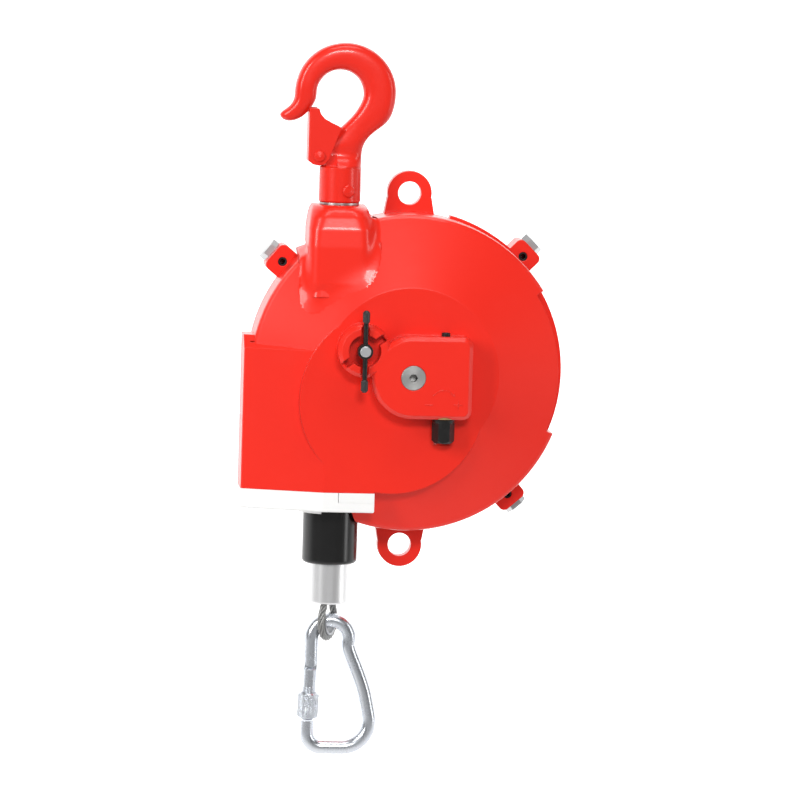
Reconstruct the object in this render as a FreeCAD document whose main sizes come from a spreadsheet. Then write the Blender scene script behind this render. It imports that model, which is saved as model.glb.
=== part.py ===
import FreeCAD, Part
import math
import os

import Sketcher
from FreeCAD import Placement, Rotation, Vector

# Spring balancer for tools: a tapered rope drum with a mainspring inside a round cast housing,
# hung from a swivel hook, with a wire rope, a rubber bumper and a carabiner below.
# Millimetres. The origin is the saddle of the hook, +Z is up and the front faces -Y.
# The hook and the rope share the line X = 0, Y = 0, and the drum turns about a line along Y.

doc = FreeCAD.newDocument("ToolBalancer")
sheet = doc.addObject("Spreadsheet::Sheet", "Sizes")

SIZES = [
    ("drum_offset", 48.0, "from the rope line sideways to the drum axis"),
    ("drum_drop", 199.0, "from the hook's saddle down to the drum axis"),
    ("wall", 4.0, "wall of the two castings"),
    ("fit", 0.05, "radial clearance of a shaft in its bore"),
    ("ease", 0.4, "clearance between pieces that pass each other"),
    ("casing_radius", 105.0, "outside of the housing"),
    ("joint_y", 15.0, "plane where front cover and rear casing meet"),
    ("rim_y", -14.0, "front edge of the cover's rim"),
    ("face_y", -33.0, "flat front face of the cover"),
    ("face_radius", 58.0, "round part of the flat front face"),
    ("spigot_depth", 6.0, "how far the cover reaches into the casing"),
    ("back_y", 62.0, "back face of the rear casing"),
    ("rim_depth", 9.0, "thick rim of the rear casing"),
    ("back_boss_radius", 24.0, "round boss on the back"),
    ("back_boss_height", 5.0, "how far that boss stands out"),
    ("rib_height", 3.0, "ribs on the back"),
    ("rib_width", 4.0, "ribs on the back"),
    ("rib_count", 6.0, "ribs on the back"),
    ("lug_height", 117.6, "from the drum axis to the hole of a lug"),
    ("lug_radius", 14.7, "rounded end of a lug"),
    ("lug_hole_radius", 7.75, "hole in a lug"),
    ("lug_root_width", 35.0, "lug where it leaves the rim"),
    ("lug_thickness", 10.0, "plate of a lug"),
    ("boss_reach", 117.0, "outer face of the four bolt bosses"),
    ("boss_width", 20.0, "bolt boss, across"),
    ("boss_depth", 24.0, "bolt boss, front to back"),
    ("pin_circle", 109.0, "circle of the roll pins"),
    ("roll_pin_radius", 3.0, "roll pin in each boss"),
    ("roll_pin_depth", 9.0, "length of a roll pin"),
    ("bolt_radius", 4.0, "M8 bolts through the bosses"),
    ("bolt_flats", 13.0, "heads of those bolts"),
    ("bolt_head", 4.5, "heads of those bolts"),
    ("bolt_length", 20.0, "under the head"),
    ("chute_left", -61.5, "left wall of the rope chute"),
    ("chute_edge", -8.0, "upright edge between its front and its slanted side"),
    ("chute_right", 26.0, "right end of its open bottom"),
    ("chute_corner_y", -15.0, "where the slanted side meets the left wall"),
    ("chute_low", 78.5, "bottom of the chute, below the drum axis"),
    ("chute_high", 23.0, "top of the chute, above the drum axis"),
    ("chute_bevel", 8.0, "bevel along the top of the chute"),
    ("apron_radius", 61.3, "round apron that joins the chute to the face"),
    ("apron_x", -12.0, "its centre, from the drum axis"),
    ("tower_top", -89.0, "top face of the hook tower"),
    ("tower_radius", 17.0, "top of the hook tower"),
    ("tower_half_width", 20.7, "foot of the hook tower"),
    ("tower_front_y", -27.0, "front of the tower where it runs into the cone"),
    ("tower_plate", 12.0, "thickness under the hook"),
    ("tower_cavity", 15.2, "room for the swivel nut"),
    ("slot_inset", 5.5, "relief along the right edge of the cover"),
    ("slot_from", -21.5, "lower end of that relief, degrees"),
    ("slot_to", 32.7, "upper end of that relief, degrees"),
    ("gearbox_y", -49.0, "front face of the worm housing"),
    ("gearbox_radius", 27.2, "round end of the worm housing"),
    ("gearbox_right", 39.0, "right side of the worm housing"),
    ("gearbox_bevel", 2.5, "bevel round the front of the worm housing"),
    ("gearbox_corner", 6.0, "its rounded corners"),
    ("lock_x", -32.4, "lock pin, from the drum axis"),
    ("lock_z", 17.0, "lock pin, from the drum axis"),
    ("lobe_radius", 17.5, "round lobe that holds the lock pin"),
    ("recess_radius", 10.6, "recess round the lock pin"),
    ("recess_depth", 10.0, "recess round the lock pin"),
    ("lock_slot_width", 5.2, "four slots of the recess"),
    ("lock_slot_reach", 15.6, "four slots of the recess"),
    ("lock_turn", 54.0, "between the two pairs of slots, degrees"),
    ("lock_pin_radius", 4.0, "locking plunger"),
    ("lock_travel", 5.0, "from free to locked"),
    ("lock_head_radius", 5.0, "black head that carries the lever"),
    ("lever_radius", 1.6, "rod of the lock lever"),
    ("lever_length", 54.0, "rod of the lock lever, over its caps"),
    ("cap_radius", 2.4, "caps on the lever"),
    ("cap_length", 8.5, "caps on the lever"),
    ("shaft_radius", 10.0, "main shaft inside the drum"),
    ("journal_radius", 8.2, "main shaft in the cover"),
    ("rear_journal_radius", 9.0, "main shaft in the rear casing"),
    ("bush_wall", 3.0, "walls of the bushes"),
    ("bush_length", 12.0, "bushes of the drum"),
    ("socket_flats", 5.0, "hexagon socket in the shaft's end"),
    ("worm_offset", 21.5, "from the shaft to the worm"),
    ("gear_module", 1.5, "worm gearing"),
    ("wheel_teeth", 20.0, "worm wheel"),
    ("wheel_width", 6.5, "face of the worm wheel"),
    ("wheel_y", -39.0, "middle of the worm wheel"),
    ("worm_half_length", 10.0, "threaded part of the worm, each side of the wheel"),
    ("worm_journal", 6.5, "lower journal of the worm"),
    ("worm_top_journal", 4.5, "upper journal of the worm"),
    ("hex_flats", 13.0, "hexagon end of the worm"),
    ("hex_end", 43.4, "its lower end, below the drum axis"),
    ("hex_start", 29.6, "its upper end, below the drum axis"),
    ("stub_radius", 2.9, "thrust screw over the worm"),
    ("carrier_radius", 26.0, "plate that closes the gear chamber"),
    ("carrier_thickness", 5.0, "plate that closes the gear chamber"),
    ("rope_radius", 2.5, "wire rope"),
    ("groove_pitch", 6.5, "from groove to groove"),
    ("groove_rise", 2.8, "growth of the drum from groove to groove"),
    ("groove_count", 5.0, "rope grooves"),
    ("drum_front_y", -10.0, "front face of the drum"),
    ("drum_hub_radius", 18.0, "hub of the drum"),
    ("drum_web", 6.0, "front web of the drum"),
    ("chamber_radius", 80.0, "inside of the spring chamber"),
    ("chamber_wall", 4.0, "wall of the spring chamber"),
    ("chamber_end_y", 53.0, "rear end of the spring chamber"),
    ("spring_cover_thickness", 1.8, "plate over the spring chamber"),
    ("lock_hole_count", 8.0, "holes in the drum for the lock pin"),
    ("arbor_radius", 17.0, "hub that holds the inner end of the mainspring"),
    ("spring_band", 1.6, "strip of the mainspring"),
    ("spring_width", 16.0, "strip of the mainspring"),
    ("spring_turns", 7.0, "turns of the mainspring"),
    ("guide_height", 13.0, "rope guide under the chute"),
    ("guide_hole", 3.2, "bore of the rope guide"),
    ("bumper_radius", 18.3, "rubber bumper"),
    ("bumper_length", 37.0, "rubber bumper"),
    ("ferrule_radius", 14.5, "aluminium ferrule"),
    ("ferrule_length", 26.9, "part of the ferrule that shows"),
    ("loop_turn", 64.0, "rope loop about the vertical, degrees"),
    ("loop_radius", 11.6, "lower bend of the rope loop"),
    ("loop_drop", 11.9, "from the ferrule to the middle of that bend"),
    ("loop_spread", 7.0, "legs of the loop where they enter the ferrule"),
    ("thimble_wall", 0.6, "thimble in the loop"),
    ("bow_radius", 4.7, "wire of the carabiner"),
    ("bow_bend", 12.5, "upper bend of the carabiner"),
    ("bow_bend_x", 2.2, "its centre, from the rope line"),
    ("bow_bend_z", -379.0, "its centre"),
    ("bow_low", -451.8, "lowest stretch of the carabiner"),
    ("bow_right_bend", 17.9, "lower right bend of the carabiner"),
    ("bow_right_x", 11.7, "its centre, from the rope line"),
    ("bow_left_bend", 9.4, "lower left bend of the carabiner"),
    ("bow_left_x", -11.8, "left side of the carabiner at that bend"),
    ("gate_pin_z", -393.0, "hinge pin of the carabiner's gate"),
    ("gate_pin_radius", 1.6, "hinge pin of the carabiner's gate"),
    ("gate_radius", 4.5, "gate of the carabiner"),
    ("gate_length", 40.3, "from the hinge pin to the end of the gate"),
    ("gate_tongue", 3.8, "flat tongue at the hinge of the gate"),
    ("sleeve_start", 22.2, "from the hinge pin to the screw sleeve"),
    ("sleeve_radius", 6.8, "screw sleeve of the carabiner"),
    ("sleeve_length", 17.0, "screw sleeve of the carabiner"),
    ("eye_radius", 15.5, "inside of the hook"),
    ("eye_x", -1.6, "centre of the hook's inside"),
    ("hook_outer_radius", 33.5, "outside of the hook"),
    ("hook_outer_x", 2.0, "centre of the hook's outside"),
    ("hook_half_depth", 8.5, "half of the hook's thickness"),
    ("collar_radius", 13.8, "lower end of the hook"),
    ("collar_top", -63.5, "upper end of the collar"),
    ("washer_thickness", 1.5, "between collar and tower"),
    ("stud_radius", 8.0, "swivel stud"),
    ("hook_rivet_radius", 3.0, "pin through collar and stud"),
    ("hook_rivet_z", -79.5, "height of that pin"),
    ("nut_flats", 24.0, "nut of the swivel stud"),
    ("nut_height", 9.0, "nut of the swivel stud"),
    ("latch_pin_x", -14.7, "pivot of the latch"),
    ("latch_pin_z", -57.0, "pivot of the latch"),
    ("latch_pin_radius", 2.2, "pivot of the latch"),
    ("latch_sheet", 1.6, "sheet of the latch"),
    ("latch_half_depth", 9.8, "half of the latch over its cheeks"),
]


class Amount:
    """A size as a number, with the expression that works it out from the cells of the sheet."""

    def __init__(self, number, text):
        self.number = number
        self.text = text

    def __add__(self, other):
        return joined(self, "+", other)

    def __radd__(self, other):
        return joined(other, "+", self)

    def __sub__(self, other):
        return joined(self, "-", other)

    def __rsub__(self, other):
        return joined(other, "-", self)

    def __mul__(self, other):
        return joined(self, "*", other)

    def __rmul__(self, other):
        return joined(other, "*", self)

    def __truediv__(self, other):
        return joined(self, "/", other)

    def __neg__(self):
        return joined(0.0, "-", self)


def amount(size):
    return size if isinstance(size, Amount) else Amount(float(size), repr(float(size)))


def joined(first, sign, second):
    first = amount(first)
    second = amount(second)
    if sign == "+":
        number = first.number + second.number
    elif sign == "-":
        number = first.number - second.number
    elif sign == "*":
        number = first.number * second.number
    else:
        number = first.number / second.number
    return Amount(number, "(%s %s %s)" % (first.text, sign, second.text))


def num(size):
    return amount(size).number


class Cells:
    """Reads a cell of the sheet by its alias, as an Amount."""

    def __getattr__(self, alias):
        return Amount(float(getattr(sheet, alias)), "Sizes." + alias)


for row, (alias, value, meaning) in enumerate(SIZES, start=1):
    sheet.set("A%d" % row, str(value))
    sheet.setAlias("A%d" % row, alias)
    sheet.set("B%d" % row, meaning)
doc.recompute()
s = Cells()

HEX_CORNER = 2.0 / math.sqrt(3.0)
ALONG_Y = Rotation(Vector(1, 0, 0), -90)
UPRIGHT = Rotation()
BOSS_ANGLES = (140.0, 45.0, -49.0, -135.0)
pieces = []


def keep(thing, label):
    """Marks a finished sub-part: its label is the name of its file."""
    thing.Label = label
    pieces.append(thing)
    return thing


def bind(thing, path, size):
    if isinstance(size, Amount):
        thing.setExpression(path, size.text)
    else:
        setattr(thing, path, float(size))


def place(thing, x, y, z, turn=UPRIGHT):
    thing.Placement = Placement(Vector(num(x), num(y), num(z)), turn)
    for axis, size in (("x", x), ("y", y), ("z", z)):
        if isinstance(size, Amount):
            thing.setExpression("Placement.Base." + axis, size.text)
    return thing


def on_drum_axis(thing, start=0.0):
    """Sets a turned piece on the drum axis; its outline starts at an angle round that axis."""
    return place(thing, s.drum_offset, 0, -s.drum_drop, Rotation(Vector(0, 1, 0), -start) * ALONG_Y)


def draw(body, plane, corners, arcs=None):
    """A closed outline whose corners are held by their distances from the origin. An entry
    {i: radius} in arcs bends the edge after corner i: outward when the radius is positive."""
    arcs = arcs or {}
    sketch = body.newObject("Sketcher::SketchObject", body.Name + "_outline")
    origin_plane = [f for f in body.Origin.OriginFeatures if f.Role == plane][0]
    sketch.AttachmentSupport = (origin_plane, [""])
    sketch.MapMode = "FlatFace"
    spots = [Vector(num(x), num(y), 0) for x, y in corners]
    count = len(spots)
    for i, start in enumerate(spots):
        end = spots[(i + 1) % count]
        if i in arcs:
            middle = (start + end) / 2
            half = (end - start).Length / 2
            radius = abs(num(arcs[i]))
            rise = radius - math.sqrt(max(radius ** 2 - half ** 2, 0.0))
            side = Vector(end.y - start.y, start.x - end.x, 0).normalize()
            if num(arcs[i]) < 0:
                side = side * -1
            sketch.addGeometry(Part.Arc(start, middle + side * rise, end), False)
        else:
            sketch.addGeometry(Part.LineSegment(start, end), False)
    ends = []
    for i in range(count):
        ends.append((1, 2))
        if i in arcs and (sketch.getPoint(i, 1) - spots[i]).Length > 1e-6:
            ends[i] = (2, 1)
    for i in range(count):
        after = (i + 1) % count
        sketch.addConstraint(Sketcher.Constraint("Coincident", i, ends[i][1], after, ends[after][0]))
    for i, (x, y) in enumerate(corners):
        for kind, size in (("DistanceX", x), ("DistanceY", y)):
            rule = sketch.addConstraint(Sketcher.Constraint(kind, -1, 1, i, ends[i][0], num(size)))
            if isinstance(size, Amount):
                sketch.setExpression("Constraints[%d]" % rule, size.text)
    for i, radius in arcs.items():
        size = radius if num(radius) > 0 else -amount(radius)
        rule = sketch.addConstraint(Sketcher.Constraint("Radius", i, num(size)))
        if isinstance(size, Amount):
            sketch.setExpression("Constraints[%d]" % rule, size.text)
    return sketch


def turned(name, corners, arcs=None):
    """A body turned about its own Z axis from an outline of (radius, height) corners."""
    body = doc.addObject("PartDesign::Body", name)
    sketch = draw(body, "XZ_Plane", corners, arcs)
    spin = body.newObject("PartDesign::Revolution", name + "_turning")
    spin.Profile = sketch
    spin.ReferenceAxis = (sketch, ["V_Axis"])
    spin.Angle = 360.0
    return body


def padded(name, plane, corners, length, arcs=None):
    """A body padded from an outline on one of its origin planes."""
    body = doc.addObject("PartDesign::Body", name)
    sketch = draw(body, plane, corners, arcs)
    pad = body.newObject("PartDesign::Pad", name + "_pad")
    pad.Profile = sketch
    bind(pad, "Length", length)
    return body


def edges_where(shape, test):
    return ["Edge%d" % (i + 1) for i, edge in enumerate(shape.Edges) if test(edge)]


def dress(body, kind, size, test):
    """Rounds ("Fillet") or bevels ("Chamfer") the edges of a body that pass a test."""
    doc.recompute()
    tip = body.Tip
    feature = body.newObject("PartDesign::" + kind, "%s_%s" % (body.Name, kind.lower()))
    feature.Base = (tip, edges_where(tip.Shape, test))
    bind(feature, "Radius" if kind == "Fillet" else "Size", size)
    body.Tip = feature
    return body


def cylinder(name, radius, length):
    thing = doc.addObject("Part::Cylinder", name)
    bind(thing, "Radius", radius)
    bind(thing, "Height", length)
    return thing


def cone(name, low, high, length):
    thing = doc.addObject("Part::Cone", name)
    bind(thing, "Radius1", low)
    bind(thing, "Radius2", high)
    bind(thing, "Height", length)
    return thing


def box(name, x, y, z):
    thing = doc.addObject("Part::Box", name)
    bind(thing, "Length", x)
    bind(thing, "Width", y)
    bind(thing, "Height", z)
    return thing


def hexagon(name, flats, length):
    thing = doc.addObject("Part::Prism", name)
    thing.Polygon = 6
    bind(thing, "Circumradius", flats * HEX_CORNER / 2)
    bind(thing, "Height", length)
    return thing


def cut(name, base, *tools):
    thing = doc.addObject("Part::Cut", name)
    thing.Base = base
    thing.Tool = tools[0] if len(tools) == 1 else fuse(name + "_tools", *tools)
    return thing


def fuse(name, *things):
    thing = doc.addObject("Part::MultiFuse", name)
    thing.Shapes = list(things)
    return thing


def fuse_in_turn(name, *things):
    """Joins solids one after another."""
    whole = things[0]
    for step, thing in enumerate(things[1:]):
        last = step == len(things) - 2
        union = doc.addObject("Part::Fuse", name if last else "%s_step_%d" % (name, step))
        union.Base = whole
        union.Tool = thing
        whole = union
    return whole


def cut_in_turn(name, base, *tools):
    """Takes tools away one after another."""
    whole = base
    for step, tool in enumerate(tools):
        last = step == len(tools) - 1
        whole = cut(name if last else "%s_step_%d" % (name, step), whole, tool)
    return whole


def group(name, *things):
    """Separate solids that share one node."""
    thing = doc.addObject("Part::Compound", name)
    thing.Links = list(things)
    return thing


def shaped(name, shape):
    """A form that has no primitive or feature of its own."""
    thing = doc.addObject("Part::Feature", name)
    thing.Shape = shape
    return thing


def spoke(angle, radius, height=0.0):
    """A point at an angle round the drum axis, as seen from the front."""
    turn = math.radians(angle)
    x = s.drum_offset + amount(radius) * math.cos(turn)
    z = amount(radius) * math.sin(turn) - s.drum_drop
    return x, height, z


def rounded_wire(half_x, front, back, corner, height):
    """A rectangle with rounded corners, level at a height."""
    left, right = -half_x, half_x
    bend = corner * (1 - math.sqrt(0.5))
    edges = []
    rows = [
        (Vector(left + corner, front, height), Vector(right - corner, front, height),
         Vector(right - bend, front + bend, height), Vector(right, front + corner, height)),
        (Vector(right, front + corner, height), Vector(right, back - corner, height),
         Vector(right - bend, back - bend, height), Vector(right - corner, back, height)),
        (Vector(right - corner, back, height), Vector(left + corner, back, height),
         Vector(left + bend, back - bend, height), Vector(left, back - corner, height)),
        (Vector(left, back - corner, height), Vector(left, front + corner, height),
         Vector(left + bend, front + bend, height), Vector(left + corner, front, height)),
    ]
    for start, end, middle, after in rows:
        edges.append(Part.LineSegment(start, end).toShape())
        edges.append(Part.Arc(end, middle, after).toShape())
    return Part.Wire(edges)


# ---- rear casing: a cast cup with two lugs, four bolt bosses and a ribbed back ----

def casing_shell():
    spigot_bore = s.casing_radius - s.wall
    body_radius = s.casing_radius - 3.0
    inside = body_radius - s.wall
    rim_end = s.joint_y + s.rim_depth
    hub = s.rear_journal_radius + s.bush_wall
    hub_front = s.back_y - 8.0
    corners = [
        (s.casing_radius, s.joint_y),
        (s.casing_radius, rim_end),
        (body_radius, rim_end + 2.0),
        (body_radius - 3.0, s.back_y - 9.0),
        (body_radius - 11.0, s.back_y),
        (s.back_boss_radius, s.back_y),
        (s.back_boss_radius - 1.5, s.back_y + s.back_boss_height),
        (hub, s.back_y + s.back_boss_height),
        (hub, hub_front),
        (hub + 6.0, hub_front),
        (hub + 8.0, s.back_y - s.wall),
        (inside - 9.0, s.back_y - s.wall),
        (inside - 3.0, s.back_y - s.wall - 6.0),
        (inside, rim_end),
        (spigot_bore, s.joint_y + s.spigot_depth + 1.0),
        (spigot_bore, s.joint_y),
    ]
    return on_drum_axis(turned("casing_shell", corners, {3: 14.0}))


def lug(name, up):
    """One lug of the rear casing, above (up = 1) or below (up = -1) the drum axis."""
    root = s.casing_radius - 6.0
    half = s.lug_root_width / 2
    neck = s.lug_height - 3.0
    corners = [(-half, root), (half, root), (s.lug_radius, neck), (-s.lug_radius, neck)]
    if up < 0:
        corners = [(x, -amount(z)) for x, z in reversed(corners)]
    plate = padded(name + "_plate", "XZ_Plane", corners, s.lug_thickness)
    place(plate, s.drum_offset, s.joint_y + s.lug_thickness, -s.drum_drop)
    end = cylinder(name + "_end", s.lug_radius, s.lug_thickness)
    place(end, s.drum_offset, s.joint_y, s.lug_height * up - s.drum_drop, ALONG_Y)
    return [plate, end]


def lug_hole(name, up):
    hole = cylinder(name + "_hole", s.lug_hole_radius, s.lug_thickness + 4.0)
    return place(hole, s.drum_offset, s.joint_y - 2.0, s.lug_height * up - s.drum_drop, ALONG_Y)


def rim_swell(name, up):
    """The low shoulder of the rim from which a lug grows."""
    swell = cylinder(name, s.casing_radius + 2.0, s.lug_thickness - 1.0)
    swell.Angle = 30.0
    turn = Rotation(Vector(0, 1, 0), -75 if up > 0 else 105) * ALONG_Y
    return place(swell, s.drum_offset, s.joint_y, -s.drum_drop, turn)


def bolt_boss(index, angle):
    """A block on the rim, drilled from outside for a bolt and from the front for a roll pin."""
    inner = s.casing_radius - 7.0
    block = box("boss_%d" % index, s.boss_reach - inner, s.boss_width, s.boss_depth)
    x, y, z = spoke(angle, inner)
    turn = Rotation(Vector(0, 1, 0), -angle) * ALONG_Y
    shift = turn.multVec(Vector(0, -num(s.boss_width) / 2, 0))
    rounded = doc.addObject("Part::Fillet", "boss_%d_rounded" % index)
    rounded.Base = block
    doc.recompute()
    outer_x = num(s.boss_reach - inner) - 1
    upright = edges_where(block.Shape, lambda e: abs(e.BoundBox.ZLength - num(s.boss_depth)) < 1e-6 and
                          e.CenterOfMass.x > outer_x)
    rounded.Edges = [(int(edge[4:]), 4.0, 4.0) for edge in upright]
    return place(rounded, x + shift.x, s.joint_y, z + shift.z, turn)


def radial(thing, angle, radius, height):
    """Turns a piece so that its +Z axis points outward from the drum axis."""
    x, y, z = spoke(angle, radius, height)
    return place(thing, x, y, z, Rotation(Vector(0, 1, 0), 90 - angle))


def rear_casing():
    inner = s.casing_radius - 12.0
    bolt_y = s.joint_y + s.roll_pin_depth + s.bolt_radius + 2.5
    solids = [casing_shell()]
    holes = []
    for name, up in (("upper_lug", 1), ("lower_lug", -1)):
        solids += lug(name, up)
        solids.append(rim_swell(name + "_root", up))
        holes.append(lug_hole(name, up))
    for index, angle in enumerate(BOSS_ANGLES):
        solids.append(bolt_boss(index, angle))
        bore = s.bolt_radius + s.fit * 3
        bolt_hole = cylinder("boss_bolt_hole_%d" % index, bore, s.boss_reach - inner + 2.0)
        holes.append(radial(bolt_hole, angle, inner, bolt_y))
        pin_hole = cylinder("boss_pin_hole_%d" % index, s.roll_pin_radius, s.roll_pin_depth + 2.0)
        x, y, z = spoke(angle, s.pin_circle, s.joint_y - 1.0)
        holes.append(place(pin_hole, x, y, z, ALONG_Y))
    rib_start = s.back_boss_radius - 1.0
    rib_end = s.casing_radius - 16.0
    for index in range(int(num(s.rib_count))):
        angle = index * 360.0 / num(s.rib_count) + 30.0
        rib = box("rib_%d" % index, rib_end - rib_start, s.rib_width, s.rib_height + 1.0)
        turn = Rotation(Vector(0, 1, 0), -angle) * ALONG_Y
        shift = turn.multVec(Vector(0, -num(s.rib_width) / 2, 0))
        x, y, z = spoke(angle, rib_start)
        solids.append(place(rib, x + shift.x, s.back_y - 1.0, z + shift.z, turn))
    hollow = cylinder("casing_bore", s.casing_radius - s.wall, s.spigot_depth + 2.0)
    place(hollow, s.drum_offset, s.joint_y - 1.0, -s.drum_drop, ALONG_Y)
    shell_inside = s.casing_radius - 3.0 - s.wall
    room = cylinder("casing_room", shell_inside - 1.0, s.boss_depth)
    place(room, s.drum_offset, s.joint_y + s.spigot_depth, -s.drum_drop, ALONG_Y)
    tools = [hollow, room, bumper_room("casing")] + holes
    return keep(cut("rear_casing", fuse("casing_casting", *solids), *tools), "rear_casing")


def casing_bolts():
    """Hexagon bolts that point at the drum axis, one in each boss."""
    bolt_y = s.joint_y + s.roll_pin_depth + s.bolt_radius + 2.5
    bolts = []
    for index, angle in enumerate(BOSS_ANGLES):
        head = hexagon("bolt_head_%d" % index, s.bolt_flats, s.bolt_head)
        radial(head, angle, s.boss_reach, bolt_y)
        shank = cylinder("bolt_shank_%d" % index, s.bolt_radius, s.bolt_length + 0.5)
        radial(shank, angle, s.boss_reach - s.bolt_length, bolt_y)
        bolts.append(fuse("bolt_%d" % index, head, shank))
    return keep(group("casing_bolts", *bolts), "casing_bolts")


def roll_pins():
    pins = []
    for index, angle in enumerate(BOSS_ANGLES):
        tube = cylinder("roll_pin_tube_%d" % index, s.roll_pin_radius, s.roll_pin_depth)
        bore = cylinder("roll_pin_bore_%d" % index, s.roll_pin_radius * 0.6, s.roll_pin_depth + 2.0)
        x, y, z = spoke(angle, s.pin_circle, s.joint_y + 0.5)
        place(tube, x, y, z, ALONG_Y)
        place(bore, x, y - 1.0, z, ALONG_Y)
        pins.append(cut("roll_pin_%d" % index, tube, bore))
    return keep(group("roll_pins", *pins), "roll_pins")


# ---- front cover: cone, flat face, rope chute, hook tower and worm housing in one casting ----

def inner_face_radius():
    return s.face_radius - s.wall * 0.4


def rim_inside():
    """Inside of the cover's thick rim."""
    return s.casing_radius - s.wall - s.slot_inset


def inner_rim_y():
    """Where the inner cone meets the inside of the rim."""
    slope = (s.rim_y - s.face_y) / (s.casing_radius - s.face_radius)
    return s.face_y + s.wall + (rim_inside() - inner_face_radius()) * slope


def cover_skin():
    """The turned rim with its spigot, the cone and the flat face."""
    spigot = s.casing_radius - s.wall - s.fit
    body = turned("cover_cone", [
        (0, s.face_y),
        (s.face_radius, s.face_y),
        (s.casing_radius - 2.2, s.rim_y - 0.9),
        (s.casing_radius - 0.5, s.rim_y + 0.4),
        (s.casing_radius, s.rim_y + 2.2),
        (s.casing_radius, s.joint_y),
        (spigot, s.joint_y),
        (spigot, s.joint_y + s.spigot_depth),
        (rim_inside(), s.joint_y + s.spigot_depth),
        (rim_inside(), inner_rim_y()),
        (inner_face_radius(), s.face_y + s.wall),
        (0, s.face_y + s.wall),
    ])
    return on_drum_axis(body, -60.0)


def cover_hollow():
    """The room inside that cone."""
    return on_drum_axis(turned("cover_hollow", [
        (0, s.face_y + s.wall),
        (inner_face_radius(), s.face_y + s.wall),
        (rim_inside(), inner_rim_y()),
        (rim_inside(), s.joint_y + 1.0),
        (0, s.joint_y + 1.0),
    ]), -75.0)


def chute(name, shrink):
    """The upright duct for the rope, with its slanted side and bevelled top."""
    near = amount(shrink)
    low = -s.drum_drop - s.chute_low
    height = s.chute_low + s.chute_high - near
    grow = 1.0 if num(near) > 0 else 0.0
    corners = [
        (s.chute_left + near, s.joint_y + grow),
        (s.chute_left + near, s.chute_corner_y + near * 0.6),
        (s.chute_edge + near * 0.6, s.face_y + near),
        (s.chute_right - near, s.face_y + near),
        (s.chute_right - near, s.joint_y + grow),
    ]
    body = padded(name, "XY_Plane", corners, height + grow)
    top = num(height) + grow
    if num(near) == 0:
        dress(body, "Chamfer", s.chute_bevel, lambda e: e.BoundBox.ZMin > top - 1e-6 and
              e.CenterOfMass.y < num(s.chute_corner_y) - 1)
        dress(body, "Fillet", 2.0, lambda e: e.BoundBox.ZLength > top * 0.8 and
              num(s.chute_corner_y) + 1 > e.CenterOfMass.y > num(s.face_y) - 1 and
              e.CenterOfMass.x < num(s.chute_edge) + 1)
    return place(body, 0, 0, low - grow)


def apron():
    """Round edge of the front face between the chute and the cone."""
    disc = cylinder("apron", s.apron_radius, s.joint_y - s.face_y - 8.0)
    x = s.drum_offset + s.apron_x
    z = s.apron_radius - s.drum_drop - s.chute_low
    return place(disc, x, s.face_y, z, ALONG_Y)


def tower():
    """The hook's tower, round at the top and square where it runs into the cone."""
    half = num(s.tower_half_width)
    top = num(s.tower_top)
    radius = num(s.tower_radius)
    back = num(s.joint_y)
    front = num(s.tower_front_y)
    wires = [
        rounded_wire(radius, -radius, radius, radius * 0.96, top),
        rounded_wire(half - 0.6, -half + 0.8, back + 1.0, half * 0.72, top - 17.0),
        rounded_wire(half, (front - half) / 2, back + 1.0, half * 0.55, top - 34.0),
        rounded_wire(half, front, back + 1.0, half * 0.4, top - 60.0),
    ]
    loft = shaped("tower_loft", Part.makeLoft(wires, True, True))
    trim = box("tower_trim", 80.0, 20.0, 120.0)
    place(trim, -40.0, s.joint_y, s.tower_top - 100.0)
    return cut("tower", loft, trim)


def worm_housing():
    """The raised front block: round about the shaft, square over the worm, with the lock's lobe."""
    depth = s.face_y - s.gearbox_y + 1.0
    round_end = cylinder("gearbox_round", s.gearbox_radius, depth)
    place(round_end, s.drum_offset, s.gearbox_y, -s.drum_drop, ALONG_Y)
    block = box("gearbox_block", s.gearbox_right, s.gearbox_radius * 2, depth)
    block_turn = Rotation(Vector(1, 0, 0), 90)
    place(block, s.drum_offset, s.gearbox_y + depth, -s.drum_drop - s.gearbox_radius, block_turn)
    doc.recompute()
    rounded = doc.addObject("Part::Fillet", "gearbox_rounded")
    rounded.Base = block
    corner = num(s.gearbox_corner)
    right = num(s.drum_offset + s.gearbox_right)
    edges = edges_where(block.Shape, lambda e: e.BoundBox.YLength > num(depth) - 0.01 and
                        e.CenterOfMass.x > right - 0.1)
    rounded.Edges = [(int(edge[4:]), corner, corner) for edge in edges]
    lobe = cylinder("gearbox_lobe", s.lobe_radius, depth)
    place(lobe, s.drum_offset + s.lock_x, s.gearbox_y, s.lock_z - s.drum_drop, ALONG_Y)
    whole = fuse("gearbox_outline", round_end, rounded, lobe)
    whole.Refine = True
    doc.recompute()
    bevel = doc.addObject("Part::Chamfer", "gearbox")
    bevel.Base = whole
    size = num(s.gearbox_bevel)
    front = edges_where(whole.Shape, lambda e: e.BoundBox.YMax < num(s.gearbox_y) + 1e-3)
    bevel.Edges = [(int(edge[4:]), size, size) for edge in front]
    return bevel


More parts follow.
